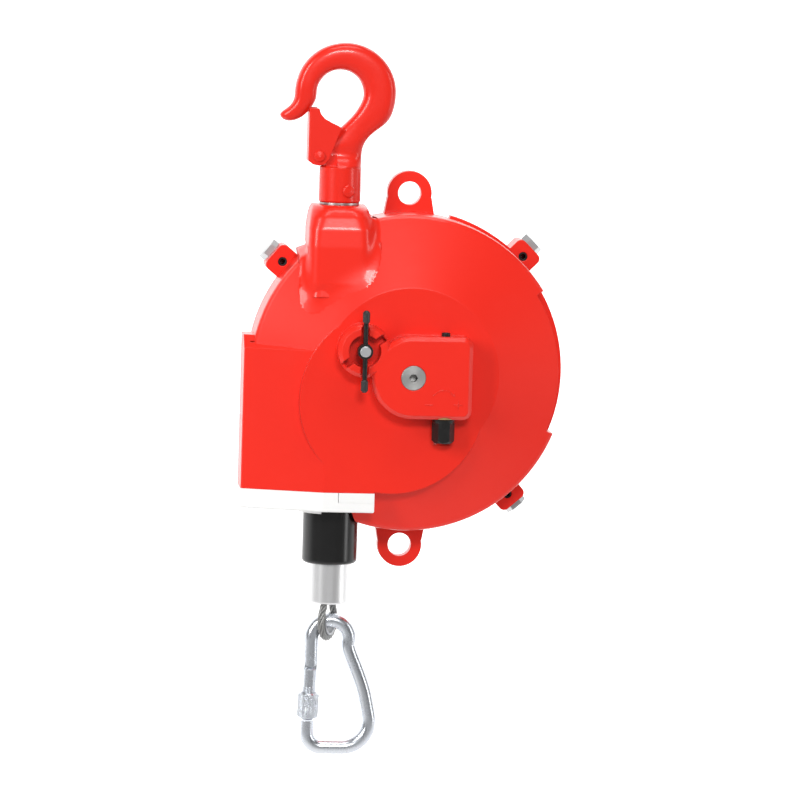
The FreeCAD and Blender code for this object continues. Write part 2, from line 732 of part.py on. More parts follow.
def lock_recess():
    """The stepped recess of the lock pin: a round pocket with two pairs of slots."""
    centre_x = s.drum_offset + s.lock_x
    centre_z = s.lock_z - s.drum_drop
    tools = [place(cylinder("recess_pocket", s.recess_radius, s.recess_depth + 1.0),
                   centre_x, s.gearbox_y - 1.0, centre_z, ALONG_Y)]
    for name, angle in (("upright", 90.0), ("slanted", 90.0 - num(s.lock_turn))):
        turn = Rotation(Vector(0, 1, 0), -angle) * ALONG_Y
        for kind, reach, width, deep in (
                ("slot", s.lock_slot_reach, s.lock_slot_width, s.recess_depth),
                ("seat", s.lobe_radius + 3.0, s.lever_radius * 2 + s.ease * 2, s.lock_travel + s.ease)):
            tool = box("%s_%s" % (name, kind), reach * 2, width, deep + 4.0)
            shift = turn.multVec(Vector(-num(reach), -num(width) / 2, 0))
            tools.append(place(tool, centre_x + shift.x, s.gearbox_y - 4.0, centre_z + shift.z, turn))
    bore = cylinder("lock_bore", s.lock_pin_radius + s.fit, 60.0)
    tools.append(place(bore, centre_x, s.gearbox_y - 1.0, centre_z, ALONG_Y))
    return tools


def gear_chamber():
    """Round room for the wheel, upright bore for the worm, and the bores of both."""
    worm_x = s.drum_offset + s.worm_offset
    wheel_room = s.gear_module * (s.wheel_teeth / 2 + 1) + 1.2
    worm_room = worm_radius() + 0.8
    room = cylinder("wheel_room", wheel_room, s.face_y + s.wall - s.gearbox_y - s.wall + 1.0)
    place(room, s.drum_offset, s.gearbox_y + s.wall, -s.drum_drop, ALONG_Y)
    shaft_bore = cylinder("front_bore", s.journal_radius + s.fit, 20.0)
    place(shaft_bore, s.drum_offset, s.gearbox_y - 1.0, -s.drum_drop, ALONG_Y)
    worm_bore = cylinder("worm_bore", worm_room, s.gearbox_radius + 1.0 + s.worm_half_length + 1.0)
    place(worm_bore, worm_x, s.wheel_y, -s.drum_drop - s.gearbox_radius - 1.0)
    top_bore = cylinder("worm_top_bore", s.worm_top_journal + s.fit, s.worm_half_length + 8.0)
    place(top_bore, worm_x, s.wheel_y, -s.drum_drop)
    stub_bore = cylinder("stub_bore", s.stub_radius, s.gearbox_radius + 2.0)
    place(stub_bore, worm_x, s.wheel_y, -s.drum_drop)
    return [room, shaft_bore, worm_bore, top_bore, stub_bore]


def worm_radius():
    """Outside of the worm's thread: the gap between the axes less the wheel's pitch radius, and a module."""
    return s.worm_offset - s.gear_module * s.wheel_teeth / 2 + s.gear_module


def edge_relief():
    """The cover's rim is set back along its right edge, which leaves a gap to the casing's rim."""
    inner = s.casing_radius - s.slot_inset
    ring = cylinder("relief_outer", s.casing_radius + 2.0, s.joint_y - s.rim_y + 6.0)
    core = cylinder("relief_core", inner, s.joint_y - s.rim_y + 8.0)
    bind(ring, "Angle", s.slot_to - s.slot_from)
    turn = Rotation(Vector(0, 1, 0), -num(s.slot_to)) * ALONG_Y
    place(ring, s.drum_offset, s.rim_y - 6.0, -s.drum_drop, turn)
    place(core, s.drum_offset, s.rim_y - 7.0, -s.drum_drop, Rotation(Vector(0, 1, 0), 120.0) * ALONG_Y)
    return cut("edge_relief", ring, core)


def front_cover():
    lock_boss = cylinder("lock_boss", s.lock_pin_radius + 4.0, 16.0)
    place(lock_boss, s.drum_offset + s.lock_x, s.face_y + 2.0, s.lock_z - s.drum_drop, ALONG_Y)
    hollow = cover_hollow()
    walls = cut("cover_walls", fuse("cover_outside", chute("chute_block", 0), apron()), hollow)
    open_tower = cut("open_tower", tower(), hollow)
    closed = fuse_in_turn("cover_closed", cover_skin(), walls, open_tower)
    shell = cut("cover_shell", closed, chute("chute_hollow", s.wall))
    whole = fuse_in_turn("cover_casting", shell, lock_boss, worm_housing())
    stud_bore = cylinder("stud_bore", s.stud_radius + s.fit, s.tower_plate + 2.0)
    place(stud_bore, 0, 0, s.tower_top - s.tower_plate - 1.0)
    nut_room = cylinder("nut_room", s.tower_cavity, 40.0)
    place(nut_room, 0, 0, s.tower_top - s.tower_plate - 40.0)
    guide_back = s.joint_y + s.spigot_depth + 2.0
    guide_room = padded("guide_room", "XY_Plane", guide_outline(0.1, guide_back), s.guide_height + 0.1)
    place(guide_room, 0, 0, bumper_top() - 0.1)
    tools = [edge_relief(), stud_bore, nut_room, chute_mouth(), guide_room, bumper_room("cover")]
    tools += lock_recess() + gear_chamber() + [drive_relief()]
    return keep(cut_in_turn("front_cover", whole, *tools), "front_cover")


def drive_relief():
    """Shallow groove in the front face behind the worm's hexagon."""
    height = s.hex_end - s.gearbox_radius + 2.0
    groove = cylinder("drive_relief", s.hex_flats * (HEX_CORNER / 2) + 0.6, height)
    return place(groove, s.drum_offset + s.worm_offset, s.wheel_y, -s.drum_drop - s.hex_end - 2.1)


def chute_mouth():
    """Opens the bottom of the chute, where the liner and the apron would close it."""
    near = s.wall
    corners = [
        (s.chute_left + near, s.joint_y + s.spigot_depth + 1.0),
        (s.chute_left + near, s.chute_corner_y + near * 0.6),
        (s.chute_edge + near * 0.6, s.face_y + near),
        (s.chute_right - near, s.face_y + near),
        (s.chute_right - near, s.joint_y + s.spigot_depth + 1.0),
    ]
    body = padded("chute_mouth", "XY_Plane", corners, 30.0)
    return place(body, 0, 0, -s.drum_drop - s.chute_low - 0.5)


def guide_outline(grow, back):
    """Outline of the rope guide in plan, or of its pocket when it grows."""
    return [
        (s.chute_left - grow * 5.0, back),
        (s.chute_left - grow * 5.0, s.chute_corner_y - grow * 5.0),
        (s.chute_edge - grow * 3.0, s.face_y - grow * 10.0),
        (s.chute_right + grow, s.face_y - grow * 10.0),
        (s.chute_right + grow, back),
    ]


def bumper_room(casting):
    """The castings are hollowed round the bumper below the rope guide."""
    room = cylinder("%s_bumper_room" % casting, s.bumper_radius + 2.2, 25.0)
    return place(room, 0, 0, bumper_top() - 24.0)


def rope_guide():
    """White plastic guide under the chute, with a round stop for the bumper and a slide-in insert."""
    low = -s.drum_drop - s.chute_low - s.guide_height
    plate = padded("guide_plate", "XY_Plane", guide_outline(0, s.joint_y), s.guide_height)
    dress(plate, "Fillet", 1.2, lambda e: e.BoundBox.ZMax < 1e-6)
    place(plate, 0, 0, low)
    stop = cone("guide_stop", s.bumper_radius + 4.0, s.bumper_radius + 7.0, 2.6)
    place(stop, 0, 0, low - 2.6)
    bore = cylinder("guide_bore", s.guide_hole, s.guide_height + 8.0)
    place(bore, 0, 0, low - 4.0)
    funnel = cone("guide_funnel", s.guide_hole, s.guide_hole + 5.0, 6.0)
    place(funnel, 0, 0, low + s.guide_height - 5.0)
    seat = cylinder("bumper_seat", s.bumper_radius + s.ease, 3.0)
    place(seat, 0, 0, low - 3.0)
    notch = box("insert_notch", s.chute_right - insert_x() + 1.0, insert_depth() + 1.0, s.guide_height)
    place(notch, insert_x(), s.face_y - 1.0, low + insert_height_start())
    half = box("stop_half", 50.0, 70.0, 2.6)
    place(half, -8.0, -35.0, low - 2.6)
    behind = box("stop_behind", 80.0, 30.0, 2.6)
    place(behind, -40.0, s.joint_y - 1.0, low - 2.6)
    tools = [bore, funnel, seat, notch, half, behind]
    for index in range(2):
        tools += guide_screw("guide_screw_seat_%d" % index, index, 0.1)
    return keep(cut("rope_guide", fuse("guide_blank", plate, stop), *tools), "rope_guide")


def insert_height_start():
    return s.guide_height * 0.5


def insert_x():
    return s.chute_right * 0.08


def insert_depth():
    return s.guide_height


def guide_insert():
    """Small slide-in block at the front right of the rope guide."""
    low = -s.drum_drop - s.chute_low - s.guide_height
    width = s.chute_right - insert_x() - 0.3
    block = box("guide_insert", width, insert_depth() - 0.3, s.guide_height - insert_height_start())
    place(block, s.chute_right - width, s.face_y, low + insert_height_start())
    return keep(block, "guide_insert")


def guide_screw(name, index, grow=0.0):
    """Shank and countersunk head of one guide screw, or the tools for its seat when it grows."""
    x = s.chute_left + 14.0 + 12.0 * index
    y = s.joint_y - 6.0
    low = bumper_top() + 0.4
    shank = cylinder(name + "_shank", 1.9 + grow, s.guide_height - 2.0)
    head = cone(name + "_head", 3.8 + grow, 1.9 + grow, 2.2)
    return [place(shank, x, y, low + 0.6), place(head, x, y, low - grow)]


def guide_screws():
    """Two countersunk screws that hold the rope guide up against the chute."""
    screws = [fuse("guide_screw_%d" % index, *guide_screw("guide_screw_%d" % index, index))
              for index in range(2)]
    return keep(group("guide_screws", *screws), "guide_screws")


# ---- main shaft with worm gearing ----

def key_box(name, radius, front, length, grow=0.0):
    """A flat key on the top of the shaft, or its seat when it grows."""
    key = box(name, 4.0 + grow, length, 3.0 + grow)
    return place(key, s.drum_offset - 2.0 - grow / 2, front, radius - s.drum_drop - 1.5)


def main_shaft():
    front = s.gearbox_y - 0.2
    shoulder = s.drum_front_y - 8.0
    arbor = chamber_front() + 1.0
    rear = s.back_y + s.back_boss_height - 1.0
    corners = [
        (0, front),
        (s.journal_radius - 0.5, front),
        (s.journal_radius, front + 0.5),
        (s.journal_radius, shoulder),
        (s.shaft_radius, shoulder),
        (s.shaft_radius, s.back_y - 8.5),
        (s.rear_journal_radius, s.back_y - 8.5),
        (s.rear_journal_radius, rear - 1.0),
        (s.rear_journal_radius - 1.0, rear),
        (0, rear),
    ]
    body = on_drum_axis(turned("shaft_blank", corners))
    socket = hexagon("shaft_socket", s.socket_flats, 7.0)
    place(socket, s.drum_offset, s.gearbox_y - 1.0, -s.drum_drop, ALONG_Y)
    wheel_front = s.wheel_y - s.wheel_width / 2
    wheel_seat = key_box("wheel_key_seat", s.journal_radius, wheel_front, s.wheel_width + 3.0)
    arbor_seat = key_box("arbor_key_seat", s.shaft_radius, arbor, s.spring_width)
    return keep(cut("main_shaft", body, socket, wheel_seat, arbor_seat), "main_shaft")


def shaft_keys():
    arbor = chamber_front() + 1.0
    wheel_key = key_box("wheel_key", s.journal_radius, s.wheel_y - s.wheel_width / 2, s.wheel_width + 3.0)
    arbor_key = key_box("arbor_key", s.shaft_radius, arbor, s.spring_width)
    return keep(group("shaft_keys", wheel_key, arbor_key), "shaft_keys")


def worm_wheel():
    """Twenty teeth round a hub; the tooth flanks leave room for the slope of the worm's thread."""
    module = num(s.gear_module)
    teeth = int(num(s.wheel_teeth))
    pitch = module * teeth / 2
    tip = pitch + module * 0.85
    root = pitch - module * 1.25
    step = 2 * math.pi / teeth
    points = []
    for tooth in range(teeth):
        middle = tooth * step
        for radius, share in ((root, -0.30), (tip, -0.085), (tip, 0.085), (root, 0.30)):
            angle = middle + share * step
            points.append(Vector(radius * math.cos(angle), radius * math.sin(angle), 0))
    outline = Part.makePolygon(points + [points[0]])
    width = num(s.wheel_width)
    teeth_solid = Part.Face(outline).extrude(Vector(0, 0, width))
    wheel = shaped("wheel_teeth_ring", teeth_solid)
    place(wheel, s.drum_offset, s.wheel_y - s.wheel_width / 2, -s.drum_drop, ALONG_Y)
    hub = cylinder("wheel_hub", s.journal_radius + 4.0, s.wheel_width + 3.0)
    place(hub, s.drum_offset, s.wheel_y - s.wheel_width / 2, -s.drum_drop, ALONG_Y)
    bore = cylinder("wheel_bore", s.journal_radius + 0.02, s.wheel_width + 8.0)
    place(bore, s.drum_offset, s.wheel_y - s.wheel_width, -s.drum_drop, ALONG_Y)
    seat = key_box("wheel_keyway", s.journal_radius, s.wheel_y - s.wheel_width, s.wheel_width * 2 + 6.0, 0.04)
    return keep(cut("worm_wheel", fuse("wheel_blank", wheel, hub), bore, seat), "worm_wheel")


def worm_shaft():
    """Single-start worm with a hexagon at its lower end."""
    module = num(s.gear_module)
    tip = num(worm_radius())
    root = tip - module * 2.25
    half = num(s.worm_half_length)
    lower = num(s.gearbox_radius)
    hex_top = num(s.hex_start)
    flats = num(s.hex_flats)
    journal = num(s.worm_journal)
    top_journal = num(s.worm_top_journal)
    corner = flats / 2 * HEX_CORNER
    profile = [
        (0, -hex_top - 0.5), (corner - 0.4, -hex_top - 0.5), (corner - 0.1, -lower - 0.4),
        (journal, -lower - 0.4), (journal, -half - 3.0), (root, -half - 1.5), (root, half + 0.5),
        (top_journal, half + 1.0), (top_journal, half + 7.0), (0, half + 7.0),
    ]
    points = [Vector(r, 0, z) for r, z in profile]
    core = Part.Face(Part.makePolygon(points + [points[0]])).revolve(Vector(0, 0, 0), Vector(0, 0, 1), 360)
    pitch = math.pi * module
    turns = 2 * (half - pitch / 2) / pitch
    start = -half + pitch / 2
    helix = Part.makeHelix(pitch, turns * pitch, (tip + root) / 2)
    helix.translate(Vector(0, 0, start))
    thread_points = [
        Vector(root - 0.2, 0, start - pitch * 0.30), Vector(tip, 0, start - pitch * 0.09),
        Vector(tip, 0, start + pitch * 0.09), Vector(root - 0.2, 0, start + pitch * 0.30),
    ]
    section = Part.makePolygon(thread_points + [thread_points[0]])
    thread = Part.Wire(helix).makePipeShell([section], True, True)
    # a gap of the thread, not a crest, faces the tooth that points at the worm
    thread.rotate(Vector(0, 0, 0), Vector(0, 0, 1), 180.0 - 360.0 * half / pitch)
    worm = shaped("worm_core", core.fuse(thread))
    place(worm, s.drum_offset + s.worm_offset, s.wheel_y, -s.drum_drop)
    drive = hexagon("worm_hexagon", s.hex_flats, s.hex_end - s.hex_start)
    place(drive, s.drum_offset + s.worm_offset, s.wheel_y, -s.drum_drop - s.hex_end)
    envelope = turned("worm_end_bevel", [
        (0, -s.hex_end),
        (s.hex_flats / 2 - 0.6, -s.hex_end),
        (s.hex_flats / 2 + 1.4, -s.hex_end + 2.4),
        (s.hex_flats / 2 + 1.4, -s.hex_start),
        (0, -s.hex_start),
    ])
    place(envelope, s.drum_offset + s.worm_offset, s.wheel_y, -s.drum_drop)
    ending = doc.addObject("Part::Common", "worm_drive_end")
    ending.Base = drive
    ending.Tool = envelope
    return keep(fuse("worm_shaft", worm, ending), "worm_shaft")


def worm_bush():
    """Bronze bush for the lower journal of the worm."""
    corners = [
        (s.worm_journal + s.fit, 0),
        (worm_radius() + 0.8, 0),
        (worm_radius() + 0.8, 8.0),
        (s.worm_journal + s.fit, 8.0),
    ]
    body = turned("worm_bush", corners)
    place(body, s.drum_offset + s.worm_offset, s.wheel_y, -s.drum_drop - s.gearbox_radius)
    return keep(body, "worm_bush")


def thrust_screw():
    """Socket set screw over the worm."""
    top = s.gearbox_radius + 2.4
    low = s.worm_half_length + 7.5
    corners = [
        (0, low),
        (s.stub_radius - 0.5, low),
        (s.stub_radius, low + 0.5),
        (s.stub_radius, top - 0.4),
        (s.stub_radius - 0.4, top),
        (1.5, top),
        (1.5, top - 2.5),
        (0, top - 2.5),
    ]
    body = turned("thrust_screw", corners)
    place(body, s.drum_offset + s.worm_offset, s.wheel_y, -s.drum_drop)
    return keep(body, "thrust_screw")


def gear_carrier():
    """Plate behind the gear chamber that carries the front bush of the main shaft."""
    front = s.face_y + s.wall
    bore = s.journal_radius + s.bush_wall
    corners = [
        (bore, front),
        (s.carrier_radius, front),
        (s.carrier_radius, front + s.carrier_thickness),
        (bore + 4.0, front + s.carrier_thickness),
        (bore + 3.0, s.drum_front_y - 9.0),
        (bore, s.drum_front_y - 9.0),
    ]
    body = on_drum_axis(turned("carrier_plate", corners))
    holes = []
    for index, angle in enumerate(carrier_angles()):
        x, y, z = spoke(angle, carrier_screw_circle(), front - 1.0)
        hole = cylinder("carrier_hole_%d" % index, 2.6, s.carrier_thickness + 2.0)
        holes.append(place(hole, x, y, z, ALONG_Y))
    return keep(cut("gear_carrier", body, *holes), "gear_carrier")


def carrier_angles():
    return (60.0, 180.0, 300.0)


def carrier_screw_circle():
    return s.carrier_radius - 4.0


def carrier_screws():
    back = s.face_y + s.wall + s.carrier_thickness
    screws = []
    for index, angle in enumerate(carrier_angles()):
        x, y, z = spoke(angle, carrier_screw_circle(), back)
        head = place(cylinder("carrier_head_%d" % index, 4.2, 3.0), x, y, z, ALONG_Y)
        shank = cylinder("carrier_shank_%d" % index, 2.5, s.carrier_thickness)
        place(shank, x, y - s.carrier_thickness, z, ALONG_Y)
        screws.append(fuse("carrier_screw_%d" % index, head, shank))
    return keep(group("carrier_screws", *screws), "carrier_screws")


def bush(name, inner, wall, front, length):
    corners = [(inner, front), (inner + wall, front), (inner + wall, front + length), (inner, front + length)]
    return keep(on_drum_axis(turned(name, corners)), name)


# ---- rope drum with its mainspring ----

def groove_radius(index):
    """Centre line of the rope in a groove; the first lies on the hanging line."""
    return s.drum_offset + s.groove_rise * index


def chamber_front():
    """Inner front wall of the spring chamber."""
    return s.groove_pitch * (s.groove_count - 0.5) + 0.25 + 4.0


def rope_drum():
    """Tapered, grooved drum in one casting with the spring chamber behind it."""
    groove = s.rope_radius + 0.25
    half = s.rope_radius - 0.1
    count = int(num(s.groove_count))
    sink = math.sqrt(num(groove) ** 2 - num(half) ** 2)
    web_back = s.drum_front_y + s.drum_web
    hub = s.shaft_radius + s.bush_wall + s.fit
    corners = [
        (hub, s.drum_front_y - 6.0),
        (s.drum_hub_radius, s.drum_front_y - 6.0),
        (s.drum_hub_radius + 2.0, s.drum_front_y),
        (groove_radius(0) - 1.5, s.drum_front_y),
        (groove_radius(0) + 0.5, s.drum_front_y + 2.0),
    ]
    arcs = {}
    for index in range(count):
        middle = s.groove_pitch * index
        low = groove_radius(index) - sink
        corners.append((low, middle - half))
        arcs[len(corners) - 1] = -groove
        corners.append((low, middle + half))
        corners.append((low + s.groove_rise / 2 + 0.4, middle + s.groove_pitch / 2))
    flange_front = chamber_front() - 4.0
    outer = s.chamber_radius + s.chamber_wall
    ring = groove_radius(0) - 9.0
    corners += [
        (outer, flange_front),
        (outer, s.chamber_end_y),
        (s.chamber_radius, s.chamber_end_y),
        (s.chamber_radius, chamber_front()),
        (ring + 4.0, chamber_front()),
        (ring, web_back),
        (s.drum_hub_radius + 6.0, web_back),
        (s.drum_hub_radius + 3.0, chamber_front() - 3.0),
        (hub, chamber_front() - 3.0),
    ]
    body = on_drum_axis(turned("drum_casting", corners, arcs))
    holes = []
    circle = lock_circle()
    start = lock_angle()
    for index in range(int(num(s.lock_hole_count))):
        angle = start + index * 360.0 / num(s.lock_hole_count)
        hole = cylinder("lock_hole_%d" % index, s.lock_pin_radius + s.ease * 1.5, s.drum_web + 2.0)
        x, y, z = spoke(angle, circle, s.drum_front_y - 1.0)
        holes.append(place(hole, x, y, z, ALONG_Y))
    for index, angle in enumerate(cover_screw_angles()):
        hole = cylinder("spring_screw_hole_%d" % index, 1.3, 8.0)
        x, y, z = spoke(angle, s.chamber_radius + s.chamber_wall / 2, s.chamber_end_y - 6.0)
        holes.append(place(hole, x, y, z, ALONG_Y))
    return keep(cut("rope_drum", body, *holes), "rope_drum")


def lock_circle():
    return math.hypot(num(s.lock_x), num(s.lock_z))


def lock_angle():
    return math.degrees(math.atan2(num(s.lock_z), num(s.lock_x)))


def cover_screw_angles():
    return [index * 60.0 + 15.0 for index in range(6)]


def spring_cover():
    corners = [
        (s.arbor_radius + 3.0, s.chamber_end_y),
        (s.chamber_radius + s.chamber_wall, s.chamber_end_y),
        (s.chamber_radius + s.chamber_wall, s.chamber_end_y + s.spring_cover_thickness),
        (s.arbor_radius + 3.0, s.chamber_end_y + s.spring_cover_thickness),
    ]
    body = on_drum_axis(turned("spring_cover_plate", corners))
    holes = []
    for index, angle in enumerate(cover_screw_angles()):
        hole = cylinder("spring_cover_hole_%d" % index, 1.35, 6.0)
        x, y, z = spoke(angle, s.chamber_radius + s.chamber_wall / 2, s.chamber_end_y - 1.0)
        holes.append(place(hole, x, y, z, ALONG_Y))
    return keep(cut("spring_cover", body, *holes), "spring_cover")


def spring_cover_screws():
    screws = []
    for index, angle in enumerate(cover_screw_angles()):
        x, y, z = spoke(angle, s.chamber_radius + s.chamber_wall / 2, s.chamber_end_y)
        shank = cylinder("spring_screw_%d" % index, 1.25, 7.0)
        place(shank, x, y - 5.0, z, ALONG_Y)
        head = cylinder("spring_screw_head_%d" % index, 1.9, 1.1)
        place(head, x, y + s.spring_cover_thickness, z, ALONG_Y)
        screws.append(fuse("spring_cover_screw_%d" % index, shank, head))
    return keep(group("spring_cover_screws", *screws), "spring_cover_screws")


def spring_arbor():
    """Hub keyed to the main shaft, with the nose that hooks the inner end of the mainspring."""
    front = chamber_front() + 1.0
    length = s.spring_width
    body = on_drum_axis(turned("arbor_blank", [
        (s.shaft_radius + 0.02, front),
        (s.arbor_radius, front),
        (s.arbor_radius, front + length),
        (s.shaft_radius + 0.02, front + length),
    ]))
    nose = box("arbor_nose", 4.0, length - 4.0, 2.6)
    place(nose, s.drum_offset - 2.0, front + 2.0, s.arbor_radius - 1.0 - s.drum_drop)
    seat = key_box("arbor_keyway", s.shaft_radius, front - 1.0, length + 2.0, 0.04)
    return keep(cut("spring_arbor", fuse("arbor_with_nose", body, nose), seat), "spring_arbor")


def mainspring():
    """Flat spiral strip between the arbor and the wall of the chamber."""
    turns = num(s.spring_turns)
    inner = num(s.arbor_radius) + 4.5
    outer = num(s.chamber_radius) - num(s.spring_band) - 0.2
    thickness = num(s.spring_band)
    steps = int(turns * 12)
    inside = []
    outside = []
    for step in range(steps + 1):
        share = step / steps
        angle = share * turns * 2 * math.pi
        radius = inner + (outer - inner) * share
        inside.append(Vector(radius * math.cos(angle), radius * math.sin(angle), 0))
        far = radius + thickness
        outside.append(Vector(far * math.cos(angle), far * math.sin(angle), 0))
    strips = []
    for row in (inside, outside):
        curve = Part.BSplineCurve()
        curve.interpolate(row)
        strips.append(curve)
    wire = Part.Wire([
        strips[0].toShape(),
        Part.LineSegment(inside[-1], outside[-1]).toShape(),
        strips[1].toShape(),
        Part.LineSegment(outside[0], inside[0]).toShape(),
    ])
    strip = Part.Face(wire).extrude(Vector(0, 0, num(s.spring_width)))
    spring = shaped("mainspring", strip)
    place(spring, s.drum_offset, chamber_front() + 1.0, -s.drum_drop, ALONG_Y)
    return keep(spring, "mainspring")


def wound_rope():
    """Rope that lies in the grooves behind the first one, where it leaves the drum."""
    rings = []
    for index in range(1, int(num(s.groove_count))):
        ring = doc.addObject("Part::Torus", "rope_turn_%d" % index)
        bind(ring, "Radius1", groove_radius(index))
        bind(ring, "Radius2", s.rope_radius)
        place(ring, s.drum_offset, s.groove_pitch * index, -s.drum_drop, ALONG_Y)
        rings.append(ring)
    return keep(group("rope_on_drum", *rings), "rope_on_drum")


# ---- drum lock ----

def lock_axis(thing, y):
    return place(thing, s.drum_offset + s.lock_x, y, s.lock_z - s.drum_drop, ALONG_Y)


def lever_y():
    """The lever's rod passes just over the face of the worm housing."""
    return s.gearbox_y - s.lever_radius - s.ease


def lock_pin():
    """Plunger that slides into one of the holes in the drum."""
    tip = s.drum_front_y - 0.8
    front = lever_y() - s.lever_radius - 0.9
    neck = s.lock_pin_radius - 1.2
    corners = [
        (0, front),
        (3.2, front),
        (3.6, front + 0.4),
        (3.6, front + 0.8),
        (neck, front + 0.8),
        (neck, lever_y() + 6.0),
        (s.lock_pin_radius, lever_y() + 6.0),
        (s.lock_pin_radius, tip - 1.0),
        (s.lock_pin_radius - 1.0, tip),
        (0, tip),
    ]
    body = turned("lock_pin", corners)
    return keep(lock_axis(body, 0), "lock_pin")


def lock_head():
    """Black collar that turns on the plunger and carries the lever's rod."""
    front = lever_y() - s.lever_radius - 0.1
    neck = s.lock_pin_radius - 1.2 + s.fit
    length = lever_y() + 6.0 - front - 0.1
    corners = [(neck, 0), (s.lock_head_radius, 0), (s.lock_head_radius, length), (neck, length)]
    body = lock_axis(turned("lock_head_blank", corners), front)
    return keep(body, "lock_head")


def lock_lever():
    """Two rods screwed into the collar from either side."""
    rods = []
    start = s.lock_head_radius
    length = s.lever_length / 2 - start - s.cap_length / 2
    for index, side in enumerate((1, -1)):
        rod = cylinder("lever_rod_%d" % index, s.lever_radius, length)
        low = start if side > 0 else -start - length
        place(rod, s.drum_offset + s.lock_x, lever_y(), s.lock_z - s.drum_drop + low)
        rods.append(rod)
    return keep(group("lock_lever", *rods), "lock_lever")


def lever_caps():
    caps = []
    for index, side in enumerate((1, -1)):
        end = s.lever_length / 2
        body = turned("lever_cap_%d" % index, [
            (s.lever_radius, 0),
            (s.cap_radius, 1.2),
            (s.cap_radius, s.cap_length - 1.4),
            (s.cap_radius - 1.3, s.cap_length),
            (0, s.cap_length),
            (0, s.cap_length / 2),
            (s.lever_radius, s.cap_length / 2),
        ])
        turn = UPRIGHT if side > 0 else Rotation(Vector(1, 0, 0), 180)
        z = s.lock_z - s.drum_drop + (end - s.cap_length) * side
        caps.append(place(body, s.drum_offset + s.lock_x, lever_y(), z, turn))
    return keep(group("lever_caps", *caps), "lever_caps")


# ---- rope end: rope, bumper, ferrule, loop and thimble ----

def bumper_top():
    return -s.drum_drop - s.chute_low - s.guide_height


def ferrule_low():
    return bumper_top() - s.bumper_length - s.ferrule_length


def rope_run():
    """Straight rope from the drum to the ferrule."""
    low = bumper_top() - s.bumper_length
    rope = cylinder("rope_run", s.rope_radius, -s.drum_drop - low)
    return keep(place(rope, 0, 0, low), "rope_run")


def bumper():
    corners = [
        (s.rope_radius + s.ease, 0),
        (s.bumper_radius - 2.5, 0),
        (s.bumper_radius, 2.5),
        (s.bumper_radius, s.bumper_length - 1.2),
        (s.bumper_radius - 1.0, s.bumper_length - 0.2),
        (s.rope_radius + s.ease, s.bumper_length - 0.2),
    ]
    body = turned("bumper", corners, {1: 2.5})
    return keep(place(body, 0, 0, bumper_top() - s.bumper_length), "bumper")


def ferrule():
    """Aluminium ferrule, drilled for the rope above and for both legs of the loop below."""
    corners = [
        (0, 0),
        (s.ferrule_radius - 1.5, 0),
        (s.ferrule_radius, 1.5),
        (s.ferrule_radius, s.ferrule_length),
        (0, s.ferrule_length),
    ]
    body = place(turned("ferrule_blank", corners, {1: 1.5}), 0, 0, ferrule_low())
    tools = []
    turn = math.radians(num(s.loop_turn))
    for index, side in enumerate((1, -1)):
        leg = cylinder("ferrule_leg_bore_%d" % index, s.rope_radius, leg_depth() + 1.0)
        x = s.loop_spread * (side * math.cos(turn))
        y = s.loop_spread * (side * math.sin(turn))
        tools.append(place(leg, x, y, ferrule_low() - 1.0))
    return keep(cut("ferrule", body, *tools), "ferrule")


def leg_depth():
    return s.ferrule_length * 0.6


def loop_path():
    """Centre line of the loop in its own plane (x across, z up), from one leg round to the other."""
    spread = num(s.loop_spread)
    bend = num(s.loop_radius)
    top = num(ferrule_low())
    middle = top - num(s.loop_drop)
    # the leg leaves the bend along the line that touches the bend's circle and meets the leg's corner
    corner = Vector(spread, 0, top - 1.5)
    away = corner - Vector(0, 0, middle)
    reach = away.Length
    lean = math.atan2(away.z, away.x) - math.acos(bend / reach)
    touch = Vector(bend * math.cos(lean), 0, middle + bend * math.sin(lean))
    return corner, touch, Vector(0, 0, middle - bend)


def mirrored(point):
    return Vector(-point.x, point.y, point.z)


def rope_loop():
    """Eye of wire rope: two legs out of the ferrule and a round bend below."""
    corner, touch, bottom = loop_path()
    up = Vector(corner.x, 0, corner.z + num(leg_depth()) + 1.5)
    into = (up - corner).normalize()
    out = (touch - corner).normalize()
    angle = math.acos(max(-1.0, min(1.0, into.dot(out) * -1)))
    trim = 1.4
    radius = trim / math.tan(angle / 2)
    sides = []
    for flip in (False, True):
        first = corner + into * trim
        last = corner + out * trim
        centre = corner + (into + out).normalize() * (radius / math.cos(angle / 2))
        middle = centre + (corner - centre).normalize() * radius
        row = [up, first, middle, last, touch]
        sides.append([mirrored(p) for p in row] if flip else row)
    right, left = sides
    edges = [
        Part.LineSegment(right[0], right[1]).toShape(),
        Part.Arc(right[1], right[2], right[3]).toShape(),
        Part.LineSegment(right[3], right[4]).toShape(),
        Part.Arc(right[4], bottom, left[4]).toShape(),
        Part.LineSegment(left[4], left[3]).toShape(),
        Part.Arc(left[3], left[2], left[1]).toShape(),
        Part.LineSegment(left[1], left[0]).toShape(),
    ]
    path = Part.Wire(edges)
    section = Part.Wire(Part.makeCircle(num(s.rope_radius), up, Vector(0, 0, 1)))
    solid = path.makePipeShell([section], True, False)
    length = path.Length
    print("rope loop: centre line %.1f mm, volume over section %.1f mm" %
          (length, solid.Volume / (math.pi * num(s.rope_radius) ** 2)))
    loop = shaped("rope_loop", solid)
    return keep(place(loop, 0, 0, 0, Rotation(Vector(0, 0, 1), num(s.loop_turn))), "rope_loop")


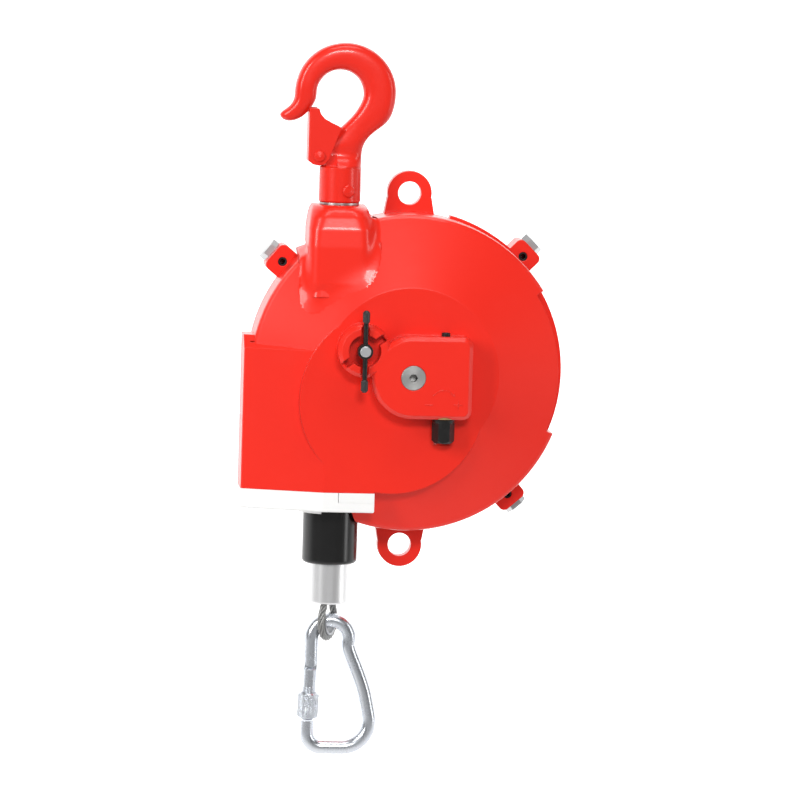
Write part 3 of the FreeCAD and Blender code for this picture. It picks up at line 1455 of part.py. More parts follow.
def thimble():
    """Grooved steel thimble inside the lower bend of the loop."""
    middle = ferrule_low() - s.loop_drop
    inner = s.loop_radius - s.rope_radius - s.thimble_wall
    outer = s.loop_radius - s.rope_radius - 0.05
    edge = s.loop_radius - 1.4
    half = s.rope_radius + 0.1
    corners = [
        (inner, -half),
        (edge, -half),
        (edge, -half + s.thimble_wall * 0.5),
        (outer, -1.2),
        (outer, 1.2),
        (edge, half - s.thimble_wall * 0.5),
        (edge, half),
        (inner, half),
    ]
    body = doc.addObject("PartDesign::Body", "thimble")
    sketch = draw(body, "XZ_Plane", corners, {2: -(s.rope_radius + 0.2), 4: -(s.rope_radius + 0.2)})
    spin = body.newObject("PartDesign::Revolution", "thimble_turning")
    spin.Profile = sketch
    spin.ReferenceAxis = (sketch, ["V_Axis"])
    spin.Angle = 230.0
    turn = Rotation(Vector(0, 0, 1), num(s.loop_turn)) * ALONG_Y * Rotation(Vector(0, 0, 1), -25.0)
    return keep(place(body, 0, 0, middle, turn), "thimble")


# ---- carabiner: bow, hinged gate and screw sleeve ----

def gate_lean():
    """The gate leans a little outward toward the nose, in radians."""
    return math.atan2(num(hinge_x()) - num(s.bow_left_x), num(s.gate_length))


def hinge_x():
    return s.bow_bend_x - s.bow_bend


def along_gate(distance, out=0.0):
    """A point down the gate from its hinge pin."""
    lean = gate_lean()
    x = num(hinge_x()) - math.sin(lean) * num(distance) + math.cos(lean) * out
    z = num(s.gate_pin_z) - math.cos(lean) * num(distance) - math.sin(lean) * out
    return x, z


def bow():
    """Round bar bent to a pear shape, forked for the gate at its upper end."""
    bend = num(s.bow_bend)
    centre = Vector(num(s.bow_bend_x), 0, num(s.bow_bend_z))
    right = num(s.bow_right_bend)
    low = num(s.bow_low)
    right_centre = Vector(num(s.bow_right_x), 0, low + right)
    left = num(s.bow_left_bend)
    left_centre = Vector(num(s.bow_left_x) + left, 0, low + left)

    def ray(middle, radius, angle):
        turn = math.radians(angle)
        return middle + Vector(math.cos(turn), 0, math.sin(turn)) * radius

    top = ray(centre, bend, 180.0)
    leave = ray(centre, bend, -12.0)
    enter = ray(right_centre, right, 12.0)
    side = Part.BSplineCurve()
    side.interpolate([leave, Vector(15.6, 0, -388.0), Vector(19.6, 0, -397.6), Vector(24.5, 0, -410.4), enter],
                     InitialTangent=Vector(math.sin(math.radians(-12.0)), 0, -math.cos(math.radians(12.0))),
                     FinalTangent=Vector(math.sin(math.radians(12.0)), 0, -math.cos(math.radians(12.0))))
    start = Vector(top.x, 0, num(s.gate_pin_z) - num(s.bow_radius) - 0.5)
    nose_start = ray(left_centre, left, 180.0)
    nose_end = Vector(num(s.bow_left_x), 0, along_gate(s.gate_length)[1] - 0.9)
    path = Part.Wire([
        Part.LineSegment(start, top).toShape(),
        Part.Arc(top, ray(centre, bend, 90.0), leave).toShape(),
        side.toShape(),
        Part.Arc(enter, ray(right_centre, right, -40.0), ray(right_centre, right, -90.0)).toShape(),
        Part.LineSegment(ray(right_centre, right, -90.0), ray(left_centre, left, -90.0)).toShape(),
        Part.Arc(ray(left_centre, left, -90.0), ray(left_centre, left, -135.0), nose_start).toShape(),
        Part.LineSegment(nose_start, nose_end).toShape(),
    ])
    section = Part.Wire(Part.makeCircle(num(s.bow_radius), start, Vector(0, 0, 1)))
    bar = shaped("bow_bar", path.makePipeShell([section], True, False))
    slot_width = s.gate_tongue + s.ease
    slot = box("bow_slot", s.bow_radius * 4, slot_width, s.bow_radius + 16.0)
    place(slot, hinge_x() - s.bow_radius * 2, -slot_width / 2, s.gate_pin_z - s.bow_radius - 10.0)
    below = box("bow_below", s.bow_radius * 4, s.bow_radius * 4, s.bow_radius * 2)
    place(below, hinge_x() - s.bow_radius * 2, -s.bow_radius * 2, s.gate_pin_z - s.bow_radius * 2)
    around = cylinder("bow_ears", s.bow_radius, s.bow_radius * 6)
    place(around, hinge_x(), -s.bow_radius * 3, s.gate_pin_z, ALONG_Y)
    ends = cut("bow_ends", below, around)
    hole = cylinder("bow_pin_hole", s.gate_pin_radius, s.bow_radius * 4)
    place(hole, hinge_x(), -s.bow_radius * 2, s.gate_pin_z, ALONG_Y)
    return keep(cut("carabiner_bow", bar, slot, ends, hole), "carabiner_bow")


def gate_pin():
    length = s.bow_radius * 2 + 0.6
    corners = [
        (0, -length / 2),
        (s.gate_pin_radius, -length / 2),
        (s.gate_pin_radius, length / 2),
        (0, length / 2),
    ]
    body = place(turned("carabiner_pin", corners), hinge_x(), 0, s.gate_pin_z, ALONG_Y)
    return keep(body, "carabiner_pin")


def gate():
    """Round bar with a flat tongue over the hinge pin."""
    shoulder = s.bow_radius + 0.8
    corners = [
        (0, -s.gate_length),
        (s.gate_radius - 0.8, -s.gate_length),
        (s.gate_radius, -s.gate_length + 0.8),
        (s.gate_radius, -shoulder - 1.0),
        (s.gate_radius - 1.0, -shoulder),
        (0, -shoulder),
    ]
    lean = Rotation(Vector(0, 1, 0), math.degrees(gate_lean()))
    rod = place(turned("gate_rod", corners), hinge_x(), 0, s.gate_pin_z, lean)
    tongue = cylinder("gate_tongue_end", s.gate_radius - 0.2, s.gate_tongue)
    place(tongue, hinge_x(), -s.gate_tongue / 2, s.gate_pin_z, ALONG_Y)
    neck = box("gate_neck", s.gate_radius * 2 - 0.8, s.gate_tongue, shoulder + 1.0)
    shift = lean.multVec(Vector(-num(s.gate_radius) + 0.4, 0, -num(shoulder) - 1.0))
    place(neck, hinge_x() + shift.x, -s.gate_tongue / 2, s.gate_pin_z + shift.z, lean)
    hole = cylinder("gate_pin_hole", s.gate_pin_radius + s.fit, s.gate_tongue + 2.0)
    place(hole, hinge_x(), -s.gate_tongue / 2 - 1.0, s.gate_pin_z, ALONG_Y)
    return keep(cut("carabiner_gate", fuse("gate_blank", rod, tongue, neck), hole), "carabiner_gate")


def screw_sleeve():
    """Sleeve that runs down the gate and over the nose of the bow."""
    top = -s.sleeve_start
    low = top - s.sleeve_length
    bore = s.bow_radius + s.ease
    corners = [
        (bore, low),
        (s.sleeve_radius - 0.8, low),
        (s.sleeve_radius, low + 0.8),
        (s.sleeve_radius, top - 1.2),
        (s.sleeve_radius - 1.2, top),
        (bore, top),
    ]
    lean = Rotation(Vector(0, 1, 0), math.degrees(gate_lean()))
    body = place(turned("screw_sleeve", corners), hinge_x(), 0, s.gate_pin_z, lean)
    return keep(body, "screw_sleeve")


# ---- hook, swivel and latch ----

HOOK_STATIONS = [
    # inner x, inner z, outer x, outer z, half depth, squareness
    (-13.6, -64.0, 13.6, -64.0, 13.6, 2.0),
    (-15.6, -60.4, 13.6, -60.6, 10.2, 2.2),
    (-19.6, -56.4, 13.7, -56.4, 7.7, 2.6),
    (-13.0, -50.4, 14.4, -51.0, 7.7, 2.8),
    (-5.0, -43.0, 17.2, -45.4, 7.7, 2.8),
    (2.3, -35.4, 22.6, -40.0, 7.7, 2.8),
    (8.6, -28.4, 29.6, -34.2, 8.2, 2.8),
]

HORN_STATIONS = [
    (-17.9, -20.6, -32.0, -19.6, 7.8, 2.7),
    (-20.4, -25.2, -33.6, -23.0, 7.3, 2.6),
    (-25.4, -30.8, -36.0, -25.6, 6.6, 2.5),
    (-32.4, -34.3, -38.4, -27.4, 5.4, 2.3),
    (-37.8, -34.0, -40.0, -28.8, 3.9, 2.1),
    (-40.6, -31.6, -41.0, -30.2, 1.2, 2.0),
]


def hook_section(station):
    """Points of the rounded section between an inner and an outer point, from the inner one round."""
    inner_x, inner_z, outer_x, outer_z, depth, square = station
    inner = Vector(inner_x, 0, inner_z)
    outer = Vector(outer_x, 0, outer_z)
    middle = (inner + outer) / 2
    across = (outer - inner) / 2
    points = []
    for step in range(17):
        turn = step % 16 * math.pi / 8
        reach = math.copysign(abs(math.cos(turn)) ** (2 / square), math.cos(turn))
        rise = math.copysign(abs(math.sin(turn)) ** (2 / square), math.sin(turn))
        points.append(middle - across * reach + Vector(0, rise * depth, 0))
    return points


def through(sections):
    """A solid whose skin is one smooth surface through closed rows of points, with flat ends."""
    skin = Part.BSplineSurface()
    skin.interpolate(sections)
    side = skin.toShape()
    ends = [Part.Face(Part.Wire([edge])) for edge in side.Edges if edge.isClosed()]
    shell = Part.makeShell([side] + ends)
    shell.sewShape()
    solid = Part.makeSolid(shell)
    inside = solid.isInside(sections[0][0] * 0.5 + sections[1][8] * 0.5, 1e-4, False)
    return solid if inside else solid.reversed()


def hook():
    """Forged hook: two offset circles make its eye and back, hand-set stations its shank and horn."""
    eye = num(s.eye_radius)
    back = num(s.hook_outer_radius)
    rows = list(HOOK_STATIONS)
    for angle in (-16.0, 8.0, 32.0, 56.0, 80.0, 104.0, 128.0, 152.0, 174.0):
        turn = math.radians(angle)
        rows.append((
            num(s.eye_x) + eye * math.cos(turn), -eye + eye * math.sin(turn),
            num(s.hook_outer_x) + back * math.cos(turn), -eye + back * math.sin(turn),
            num(s.hook_half_depth), 2.8,
        ))
    rows += HORN_STATIONS
    bar = shaped("hook_bar", through([hook_section(row) for row in rows]))
    low = s.tower_top + s.washer_thickness
    collar = turned("hook_collar", [
        (0, low),
        (s.collar_radius - 1.0, low),
        (s.collar_radius, low + 1.0),
        (s.collar_radius, s.collar_top - 1.0),
        (s.collar_radius - 1.0, s.collar_top),
        (0, s.collar_top),
    ])
    boss_half = s.latch_half_depth - s.latch_sheet - 0.7
    boss = cylinder("latch_boss", 5.6, boss_half * 2)
    place(boss, s.latch_pin_x, -boss_half, s.latch_pin_z, ALONG_Y)
    tools = []
    for index, side in enumerate((1, -1)):
        cheek = box("latch_room_%d" % index, 27.0, 10.0, 30.0)
        near = s.latch_half_depth - s.latch_sheet - 0.6
        y = near if side > 0 else -near - 10.0
        tools.append(place(cheek, -30.0, y, s.collar_top + 0.1))
    bore = cylinder("hook_bore", s.stud_radius, 20.0)
    tools.append(place(bore, 0, 0, low - 1.0))
    rivet = cylinder("hook_rivet_hole", s.hook_rivet_radius, 40.0)
    tools.append(place(rivet, 0, 0, s.hook_rivet_z, rivet_turn()))
    rivet.Placement = rivet.Placement.multiply(Placement(Vector(0, 0, -20.0), UPRIGHT))
    pin = cylinder("latch_pin_hole", s.latch_pin_radius, 30.0)
    tools.append(place(pin, s.latch_pin_x, -15.0, s.latch_pin_z, ALONG_Y))
    slot = box("latch_spring_slot", 12.0, 6.4, 15.0)
    tools.append(place(slot, s.latch_pin_x - 8.0, -3.2, s.latch_pin_z - 6.4))
    return keep(cut("hook", fuse("hook_blank", bar, collar, boss), *tools), "hook")


def rivet_turn():
    return Rotation(Vector(0, 0, 1), 20.0) * ALONG_Y


def riveted(name, radius, half, head, x, z, turn):
    """A pin along its own Z axis with a low dome on each end."""
    corners = [
        (0, -half - 1.7),
        (head - 0.7, -half - 1.2),
        (head, -half - 0.5),
        (head, -half),
        (radius, -half),
        (radius, half),
        (head, half),
        (head, half + 0.5),
        (head - 0.7, half + 1.2),
        (0, half + 1.7),
    ]
    return keep(place(turned(name, corners), x, 0, z, turn), name)


def hook_rivet():
    return riveted("hook_rivet", s.hook_rivet_radius, s.collar_radius + 0.1, s.hook_rivet_radius + 1.2,
                   0, s.hook_rivet_z, rivet_turn())


def latch_rivet():
    return riveted("latch_rivet", s.latch_pin_radius, s.latch_half_depth + 0.1, s.latch_pin_radius + 1.6,
                   s.latch_pin_x, s.latch_pin_z, ALONG_Y)


def latch_spring():
    """Torsion spring round the latch rivet, in the slot of the hook."""
    wire = 0.45
    radius = num(s.latch_pin_radius) + 1.1
    helix = Part.makeHelix(1.0, 5.0, radius)
    section = Part.Wire(Part.makeCircle(wire, Vector(radius, 0, 0), Vector(0, 1, 0.2)))
    coil = shaped("latch_spring_coil", Part.Wire(helix).makePipeShell([section], True, True))
    return keep(place(coil, s.latch_pin_x, -2.5, s.latch_pin_z, ALONG_Y), "latch_spring")


def latch():
    """Safety latch of folded sheet: two cheeks and a web along the outer edge."""
    left = -22.2
    outline = [
        (left, -60.0), (left, -25.3), (-15.7, -25.5), (-14.6, -29.0), (-11.6, -32.4), (-5.4, -35.7),
        (-0.5, -37.9), (-8.6, -59.0), (-11.2, -62.2), (-14.7, -63.2), (-19.0, -62.4),
    ]
    outline = list(reversed(outline))
    sheets = []
    for index, y in enumerate((s.latch_half_depth, -s.latch_half_depth + s.latch_sheet)):
        cheek = padded("latch_cheek_%d" % index, "XZ_Plane", outline, s.latch_sheet)
        sheets.append(place(cheek, 0, y, 0))
    web = box("latch_web", s.latch_sheet, s.latch_half_depth * 2, 32.0)
    sheets.append(place(web, left, -s.latch_half_depth, -60.0))
    hole = cylinder("latch_hole", s.latch_pin_radius + s.fit, 30.0)
    place(hole, s.latch_pin_x, -15.0, s.latch_pin_z, ALONG_Y)
    blank = fuse("latch_blank", *sheets)
    blank.Refine = True
    doc.recompute()
    rounded = doc.addObject("Part::Fillet", "latch_rounded")
    rounded.Base = blank
    folds = edges_where(blank.Shape, lambda e: e.BoundBox.XLength < 0.01 and e.BoundBox.YLength < 0.01 and
                        e.BoundBox.ZLength > 20 and abs(e.CenterOfMass.x - left) < 0.01)
    rounded.Edges = [(int(edge[4:]), 1.5, 1.5) for edge in folds]
    return keep(cut("latch", rounded, hole), "latch")


def swivel_stud():
    low = s.tower_top - s.tower_plate - s.washer_thickness - s.nut_height - 1.6
    high = s.tower_top + s.washer_thickness + 18.0
    body = turned("stud_blank", [
        (0, low),
        (s.stud_radius - 1.2, low),
        (s.stud_radius, low + 1.2),
        (s.stud_radius, high),
        (0, high),
    ])
    hole = cylinder("stud_rivet_hole", s.hook_rivet_radius, 40.0)
    place(hole, 0, 0, s.hook_rivet_z, rivet_turn())
    hole.Placement = hole.Placement.multiply(Placement(Vector(0, 0, -20.0), UPRIGHT))
    return keep(cut("swivel_stud", body, hole), "swivel_stud")


def washer(name, outer, top):
    corners = [
        (s.stud_radius, top - s.washer_thickness + 0.1),
        (outer, top - s.washer_thickness + 0.1),
        (outer, top),
        (s.stud_radius, top),
    ]
    return keep(turned(name, corners), name)


def swivel_nut():
    low = s.tower_top - s.tower_plate - s.washer_thickness - s.nut_height
    blank = place(hexagon("nut_blank", s.nut_flats, s.nut_height), 0, 0, low)
    bore = place(cylinder("nut_bore", s.stud_radius, s.nut_height + 2.0), 0, 0, low - 1.0)
    return keep(cut("swivel_nut", blank, bore), "swivel_nut")


hook()
hook_rivet()
latch_rivet()
latch_spring()
latch()
swivel_stud()
washer("swivel_washer", s.collar_radius - 0.6, s.tower_top + s.washer_thickness)
washer("thrust_washer", s.stud_radius + 5.0, s.tower_top - s.tower_plate - 0.1)
swivel_nut()
front_cover()
rear_casing()
casing_bolts()
roll_pins()
rope_guide()
guide_insert()
guide_screws()
gear_carrier()
carrier_screws()
bush("front_bush", s.journal_radius + s.fit, s.bush_wall - s.fit, s.face_y + s.wall, 10.0)
bush("rear_bush", s.rear_journal_radius + s.fit, s.bush_wall - s.fit, s.back_y - 8.0,
     s.back_boss_height + 7.0)
worm_bush()
thrust_screw()
main_shaft()
shaft_keys()
worm_wheel()
spring_arbor()
worm_shaft()
rope_drum()
bush("drum_front_bush", s.shaft_radius + s.fit, s.bush_wall, s.drum_front_y - 6.0, s.bush_length)
bush("drum_rear_bush", s.shaft_radius + s.fit, s.bush_wall, chamber_front() - 3.0 - s.bush_length,
     s.bush_length)
spring_cover()
spring_cover_screws()
mainspring()
wound_rope()
lock_pin()
lock_head()
lock_lever()
lever_caps()
rope_run()
bumper()
ferrule()
rope_loop()
thimble()
bow()
gate_pin()
gate()
screw_sleeve()

doc.recompute()

for thing in doc.Objects:
    if "Invalid" in thing.State or "Error" in thing.State:
        raise RuntimeError("%s could not be computed: %s" % (thing.Name, thing.State))

os.makedirs("parts", exist_ok=True)
for thing in pieces:
    shape = thing.Shape
    if shape.isNull() or not shape.isValid() or not shape.Solids:
        raise RuntimeError("%s has no sound shape" % thing.Label)
    shape.exportStep(os.path.join("parts", thing.Label + ".step"))
    bounds = shape.BoundBox
    print("%-20s solids %d volume %9.0f  x %.1f %.1f  y %.1f %.1f  z %.1f %.1f" % (
        thing.Label, len(shape.Solids), shape.Volume, bounds.XMin, bounds.XMax,
        bounds.YMin, bounds.YMax, bounds.ZMin, bounds.ZMax))
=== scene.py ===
import bpy
import math
from mathutils import Matrix, Vector


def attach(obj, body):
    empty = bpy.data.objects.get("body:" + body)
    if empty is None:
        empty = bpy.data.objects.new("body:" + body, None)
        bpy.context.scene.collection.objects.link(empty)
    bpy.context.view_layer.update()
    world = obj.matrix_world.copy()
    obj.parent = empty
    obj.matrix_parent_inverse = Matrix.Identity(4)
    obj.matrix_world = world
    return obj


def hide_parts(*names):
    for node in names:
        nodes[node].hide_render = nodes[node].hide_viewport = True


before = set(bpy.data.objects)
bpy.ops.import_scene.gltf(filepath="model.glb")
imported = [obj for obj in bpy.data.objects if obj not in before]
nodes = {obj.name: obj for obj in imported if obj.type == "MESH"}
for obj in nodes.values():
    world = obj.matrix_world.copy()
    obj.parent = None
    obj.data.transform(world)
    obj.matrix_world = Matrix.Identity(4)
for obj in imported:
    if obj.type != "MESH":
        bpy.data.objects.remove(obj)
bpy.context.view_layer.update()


# ---- Room ----
# Plain white floor running up into a white backdrop and dim in front of the balancer, soft area lights
# on both sides, above, in front and behind, and a long-lens camera a little to the left and above.

def area_light(name, at, toward, size, watts):
    light = bpy.data.objects.new(name, bpy.data.lights.new(name, "AREA"))
    light.data.shape = "RECTANGLE"
    light.data.size, light.data.size_y = size
    light.data.energy = watts
    light.location = at
    light.rotation_euler = (Vector(toward) - Vector(at)).to_track_quat("-Z", "Y").to_euler()
    bpy.context.scene.collection.objects.link(light)


drum_x, drum_z = 0.048, -0.199
drum_centre = Vector((drum_x, 0.0, drum_z))
area_light("key_light", (-1.5, -1.2, 0.6), drum_centre, (0.5, 1.2), 27)
area_light("side_light", (1.7, -0.7, 0.0), drum_centre, (0.4, 1.5), 8)
area_light("top_light", (0.1, -0.5, 1.5), drum_centre, (1.0, 0.6), 9)
area_light("front_light", (0.1, -2.6, 1.0), drum_centre, (0.7, 0.5), 36)
area_light("back_light", (0.4, 1.6, 0.9), drum_centre, (1.2, 1.0), 5)

world = bpy.data.worlds.new("white_room")
world.use_nodes = True
world.node_tree.nodes["Background"].inputs["Color"].default_value = (1.0, 1.0, 1.0, 1.0)
world.node_tree.nodes["Background"].inputs["Strength"].default_value = 0.14
bpy.context.scene.world = world
bpy.context.scene.view_settings.view_transform = "Standard"

floor_z, front_end, back_y, top_z, half_width, bend, bend_steps = -0.62, -6.0, 2.6, 6.0, 9.0, 0.9, 12
profile = [(front_end, floor_z), (back_y - bend, floor_z)]
for step in range(1, bend_steps + 1):
    turn = math.radians(90 * step / bend_steps)
    profile.append((back_y - bend + bend * math.sin(turn), floor_z + bend - bend * math.cos(turn)))
profile.append((back_y, top_z))
sheet_points = [(side * half_width, y, z) for y, z in profile for side in (-1, 1)]
sheet_faces = [(2 * i, 2 * i + 1, 2 * i + 3, 2 * i + 2) for i in range(len(profile) - 1)]
sweep = bpy.data.meshes.new("white_sweep")
sweep.from_pydata(sheet_points, [], sheet_faces)
backdrop = bpy.data.objects.new("white_sweep", sweep)
bpy.context.scene.collection.objects.link(backdrop)
white = bpy.data.materials.new("white_paper")
white.use_nodes = True
paper = white.node_tree.nodes["Principled BSDF"]
paper.inputs["Base Color"].default_value = (0.9, 0.9, 0.9, 1.0)
paper.inputs["Roughness"].default_value = 0.9
paper.inputs["Emission Color"].default_value = (1.0, 1.0, 1.0, 1.0)
paper.inputs["Emission Strength"].default_value = 0.72
# painted shade: the sheet's colour and glow fade to a fifth in front of the balancer, darkening what the
# balancer's front faces reflect
dim_from, white_from, dim_share = -0.6, 0.6, 0.20
coordinate = white.node_tree.nodes.new("ShaderNodeTexCoord")
parts = white.node_tree.nodes.new("ShaderNodeSeparateXYZ")
fade = white.node_tree.nodes.new("ShaderNodeMapRange")
for key, value in (("From Min", dim_from), ("From Max", white_from), ("To Min", dim_share), ("To Max", 1.0)):
    fade.inputs[key].default_value = value
white.node_tree.links.new(coordinate.outputs["Object"], parts.inputs[0])
white.node_tree.links.new(parts.outputs["Y"], fade.inputs["Value"])
for label in ("Base Color", "Emission Color"):
    white.node_tree.links.new(fade.outputs["Result"], paper.inputs[label])
sweep.materials.append(white)

azimuth, elevation, roll = math.radians(-5.5), math.radians(5.5), math.radians(1.7)
across = Vector((math.cos(azimuth), math.sin(azimuth), 0.0))
upward = Vector((-math.sin(azimuth) * math.sin(elevation), math.cos(azimuth) * math.sin(elevation),
                 math.cos(elevation)))
joint_y, shift_left, shift_down = 0.015, 0.00239, 0.02061
aim = Vector((drum_x, joint_y, drum_z)) - across * shift_left - upward * shift_down
distance, picture_width = 4.0, 0.5333
camera = bpy.data.objects.new("camera", bpy.data.cameras.new("camera"))
camera.data.sensor_width = 36.0
camera.data.lens = camera.data.sensor_width * distance / picture_width
backward = across.cross(upward)
right = across * math.cos(roll) + upward * math.sin(roll)
top = upward * math.cos(roll) - across * math.sin(roll)
rows = [[right[i], top[i], backward[i], aim[i] + backward[i] * distance] for i in range(3)]
camera.matrix_world = Matrix(rows + [[0.0, 0.0, 0.0, 1.0]])
bpy.context.scene.collection.objects.link(camera)
bpy.context.scene.camera = camera


# ---- Housing castings ----
# Front cover with rope chute, hook tower and worm housing, and the rear casing with lugs and bosses:
# two aluminium pressure die castings, shot blasted and powder coated in glossy red. Raised marks stand
# on the worm housing, and a skin over the tower rounds its corners and its foot into the cone.

class Value:
    """An output socket of a shader; sums written with it add Math nodes."""

    def __init__(self, finish, socket):
        self.finish = finish
        self.socket = socket

    def math(self, operation, first, second=0.0):
        return self.finish.node("Math", {0: first, 1: second}, {"operation": operation})

    def __add__(self, other):
        return self.math("ADD", self, other)

    def __sub__(self, other):
        return self.math("SUBTRACT", self, other)

    def __rsub__(self, other):
        return self.math("SUBTRACT", other, self)

    def __mul__(self, other):
        return self.math("MULTIPLY", self, other)

    __radd__ = __add__
    __rmul__ = __mul__


class Finish:
    """A procedural material with one Principled shader."""

    def __init__(self, name, **fixed):
        self.material = bpy.data.materials.new(name)
        self.material.use_nodes = True
        self.tree = self.material.node_tree
        self.shader = self.tree.nodes["Principled BSDF"]
        self.place = self.node("TexCoord", {}, out="Object")
        for label, value in fixed.items():
            self.set(label.replace("_", " ").title().replace("Ior", "IOR"), value)

    def node(self, kind, sockets, settings=None, out=0):
        made = self.tree.nodes.new("ShaderNode" + kind)
        for name, value in (settings or {}).items():
            if name == "stops":
                while len(made.color_ramp.elements) < len(value):
                    made.color_ramp.elements.new(0.5)
                for element, (position, grey) in zip(made.color_ramp.elements, value):
                    element.position = position
                    element.color = (grey, grey, grey, 1.0)
            else:
                setattr(made, name, value)
        for key, value in sockets.items():
            if isinstance(value, Value):
                self.tree.links.new(value.socket, made.inputs[key])
            else:
                made.inputs[key].default_value = value
        return Value(self, made.outputs[out])

    def set(self, label, value):
        if isinstance(value, Value):
            self.tree.links.new(value.socket, self.shader.inputs[label])
        else:
            self.shader.inputs[label].default_value = value

    def noise(self, scale, detail=3.0, roughness=0.5, stretch=(1.0, 1.0, 1.0)):
        """Noise from 0 to 1; scale is in bumps per metre, stretch pulls it out along an axis."""
        place = self.node("Mapping", {"Vector": self.place, "Scale": stretch})
        return self.node("TexNoise", {"Vector": place, "Scale": scale, "Detail": detail,
                                      "Roughness": roughness})

    def steps(self, value, *stops):
        return self.node("ValToRGB", {"Fac": value}, {"stops": stops})

    def blend(self, mask, first, second):
        return self.node("Mix", {0: mask, 6: first, 7: second}, {"data_type": "RGBA"}, out=2)

    def relief(self, height, depth, edge=0.0):
        """Bumps of the given depth in metres, over edges rounded by the shader."""
        sockets = {"Height": height, "Distance": depth, "Strength": 1.0}
        if edge:
            sockets["Normal"] = self.node("Bevel", {"Radius": edge}, {"samples": 6})
        self.set("Normal", self.node("Bump", sockets))


def dress(finish, *names):
    for name in names:
        for slot in nodes[name].material_slots:
            slot.material = finish.material


def red_paint(name, peel, edge, dark):
    """Glossy red over metal: orange peel, a little cloudiness and thin spots rubbed duller."""
    paint = Finish(name, coat_roughness=0.08, specular_ior_level=0.30)
    cloud = paint.noise(14.0, 2.0)
    rubbed = paint.steps(paint.noise(55.0, 6.0, 0.65), (0.55, 0.0), (0.8, 1.0))
    bright = (0.82 * dark, 0.022 * dark, 0.009 * dark, 1.0)
    deep = (0.74 * dark, 0.016 * dark, 0.007 * dark, 1.0)
    paint.set("Base Color", paint.blend(cloud, bright, deep))
    paint.set("Roughness", 0.30 + cloud * 0.06 + rubbed * 0.08)
    paint.set("Coat Weight", 0.25 - rubbed * 0.15)
    paint.relief(paint.noise(520.0, 2.0) * 0.7 + paint.noise(90.0, 2.0) * 0.3, peel, edge)
    return paint


powder_coat = red_paint("red_powder_coat", 0.00004, 0.0009, 1.0)
dress(powder_coat, "front_cover", "rear_casing")

mark_y, mark_radius = -0.0489, 0.00042
minus_x, minus_z, minus_arm = 0.0585, -0.2163, 0.0027
plus_x, plus_z, plus_arm = 0.0778, -0.2161, 0.0028
arc_x, arc_z, arc_radius = 0.0683, -0.2144, 0.0080
arrow_head = [(0.0729, -0.2088), (0.0753, -0.2106), (0.0751, -0.2076)]
mark_lines = [
    [(minus_x - minus_arm, minus_z), (minus_x + minus_arm, minus_z)],
    [(plus_x - plus_arm, plus_z), (plus_x + plus_arm, plus_z)],
    [(plus_x, plus_z + plus_arm), (plus_x, plus_z - plus_arm)],
    [(arc_x + arc_radius * math.cos(a / 10), arc_z + arc_radius * math.sin(a / 10)) for a in range(5, 27)],
    arrow_head,
]
marks = bpy.data.curves.new("cast_marks", "CURVE")
marks.dimensions = "3D"
marks.bevel_depth = mark_radius
marks.bevel_resolution = 3
marks.use_fill_caps = True
for line in mark_lines:
    spline = marks.splines.new("POLY")
    spline.points.add(len(line) - 1)
    for point, (x, z) in zip(spline.points, line):
        point.co = (x, mark_y, z, 1.0)
mark_tube = bpy.data.objects.new("cast_marks_tube", marks)


def plain_mesh(source, name, body):
    """The evaluated mesh of a curve or a node tree as a finished piece that rides on a body."""
    bpy.context.scene.collection.objects.link(source)
    bpy.context.view_layer.update()
    shape = source.evaluated_get(bpy.context.evaluated_depsgraph_get())
    mesh = bpy.data.meshes.new_from_object(shape)
    bpy.data.objects.remove(source)
    piece = bpy.data.objects.new(name, mesh)
    bpy.context.scene.collection.objects.link(piece)
    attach(piece, body)
    return piece


cast_marks = plain_mesh(mark_tube, "cast_marks", "housing")
cast_marks.data.materials.append(powder_coat.material)


# the casting's sizes in millimetres; y is negative toward the front
axis_x, axis_z, face_radius, casing_radius = 48.0, -199.0, 58.0, 105.0
face_depth, rim_depth, seam_depth, rim_fall = -33.0, -14.0, 14.5, 6.0


def cone_front(x, z):
    """Depth of the cover's flat face, cone and rim at a place on its front."""
    out = math.hypot(x - axis_x, z - axis_z)
    if out > casing_radius:
        return min(seam_depth, rim_depth + (out - casing_radius) * rim_fall)
    rise = rim_depth - face_depth
    return face_depth + max(0.0, out - face_radius) * rise / (casing_radius - face_radius)


# height, half width, front and corner radius of the tower from its top to where it ends in the cone
tower_rows = ((-89.1, 17.0, -17.0, 16.3), (-90.0, 17.9, -18.9, 15.2), (-92.0, 18.9, -21.2, 13.2),
              (-96.0, 20.0, -23.6, 10.8), (-104.0, 21.0, -26.0, 8.8), (-116.0, 21.2, -27.0, 8.2),
              (-140.0, 21.3, -27.1, 8.2), (-160.0, 21.3, -23.5, 8.0), (-172.0, 21.3, -19.0, 8.0))
fillet, blend_depth, sink, touching = 6.0, 4.0, 0.3, 0.02
fillet_ends, fillet_fade = 4.0, 14.0
wall_steps, corner_steps, front_steps = 8, 10, 5


def tower_size(z):
    """Half width, front and corner radius of the tower at one height."""
    for upper, lower in zip(tower_rows, tower_rows[1:]):
        if z >= lower[0]:
            share = (upper[0] - z) / (upper[0] - lower[0])
            return [a + (b - a) * share for a, b in zip(upper[1:], lower[1:])]


def on_cone(x, z, height, forward):
    """A point of the skin: blended where it comes close to the cone, sunk where it would lie on it."""
    close = max(blend_depth - abs(height), 0.0) / blend_depth
    rise = max(height, 0.0) + forward * close * close * blend_depth / 4
    return x, cone_front(x, z) - rise + (sink if rise < touching else 0.0), z


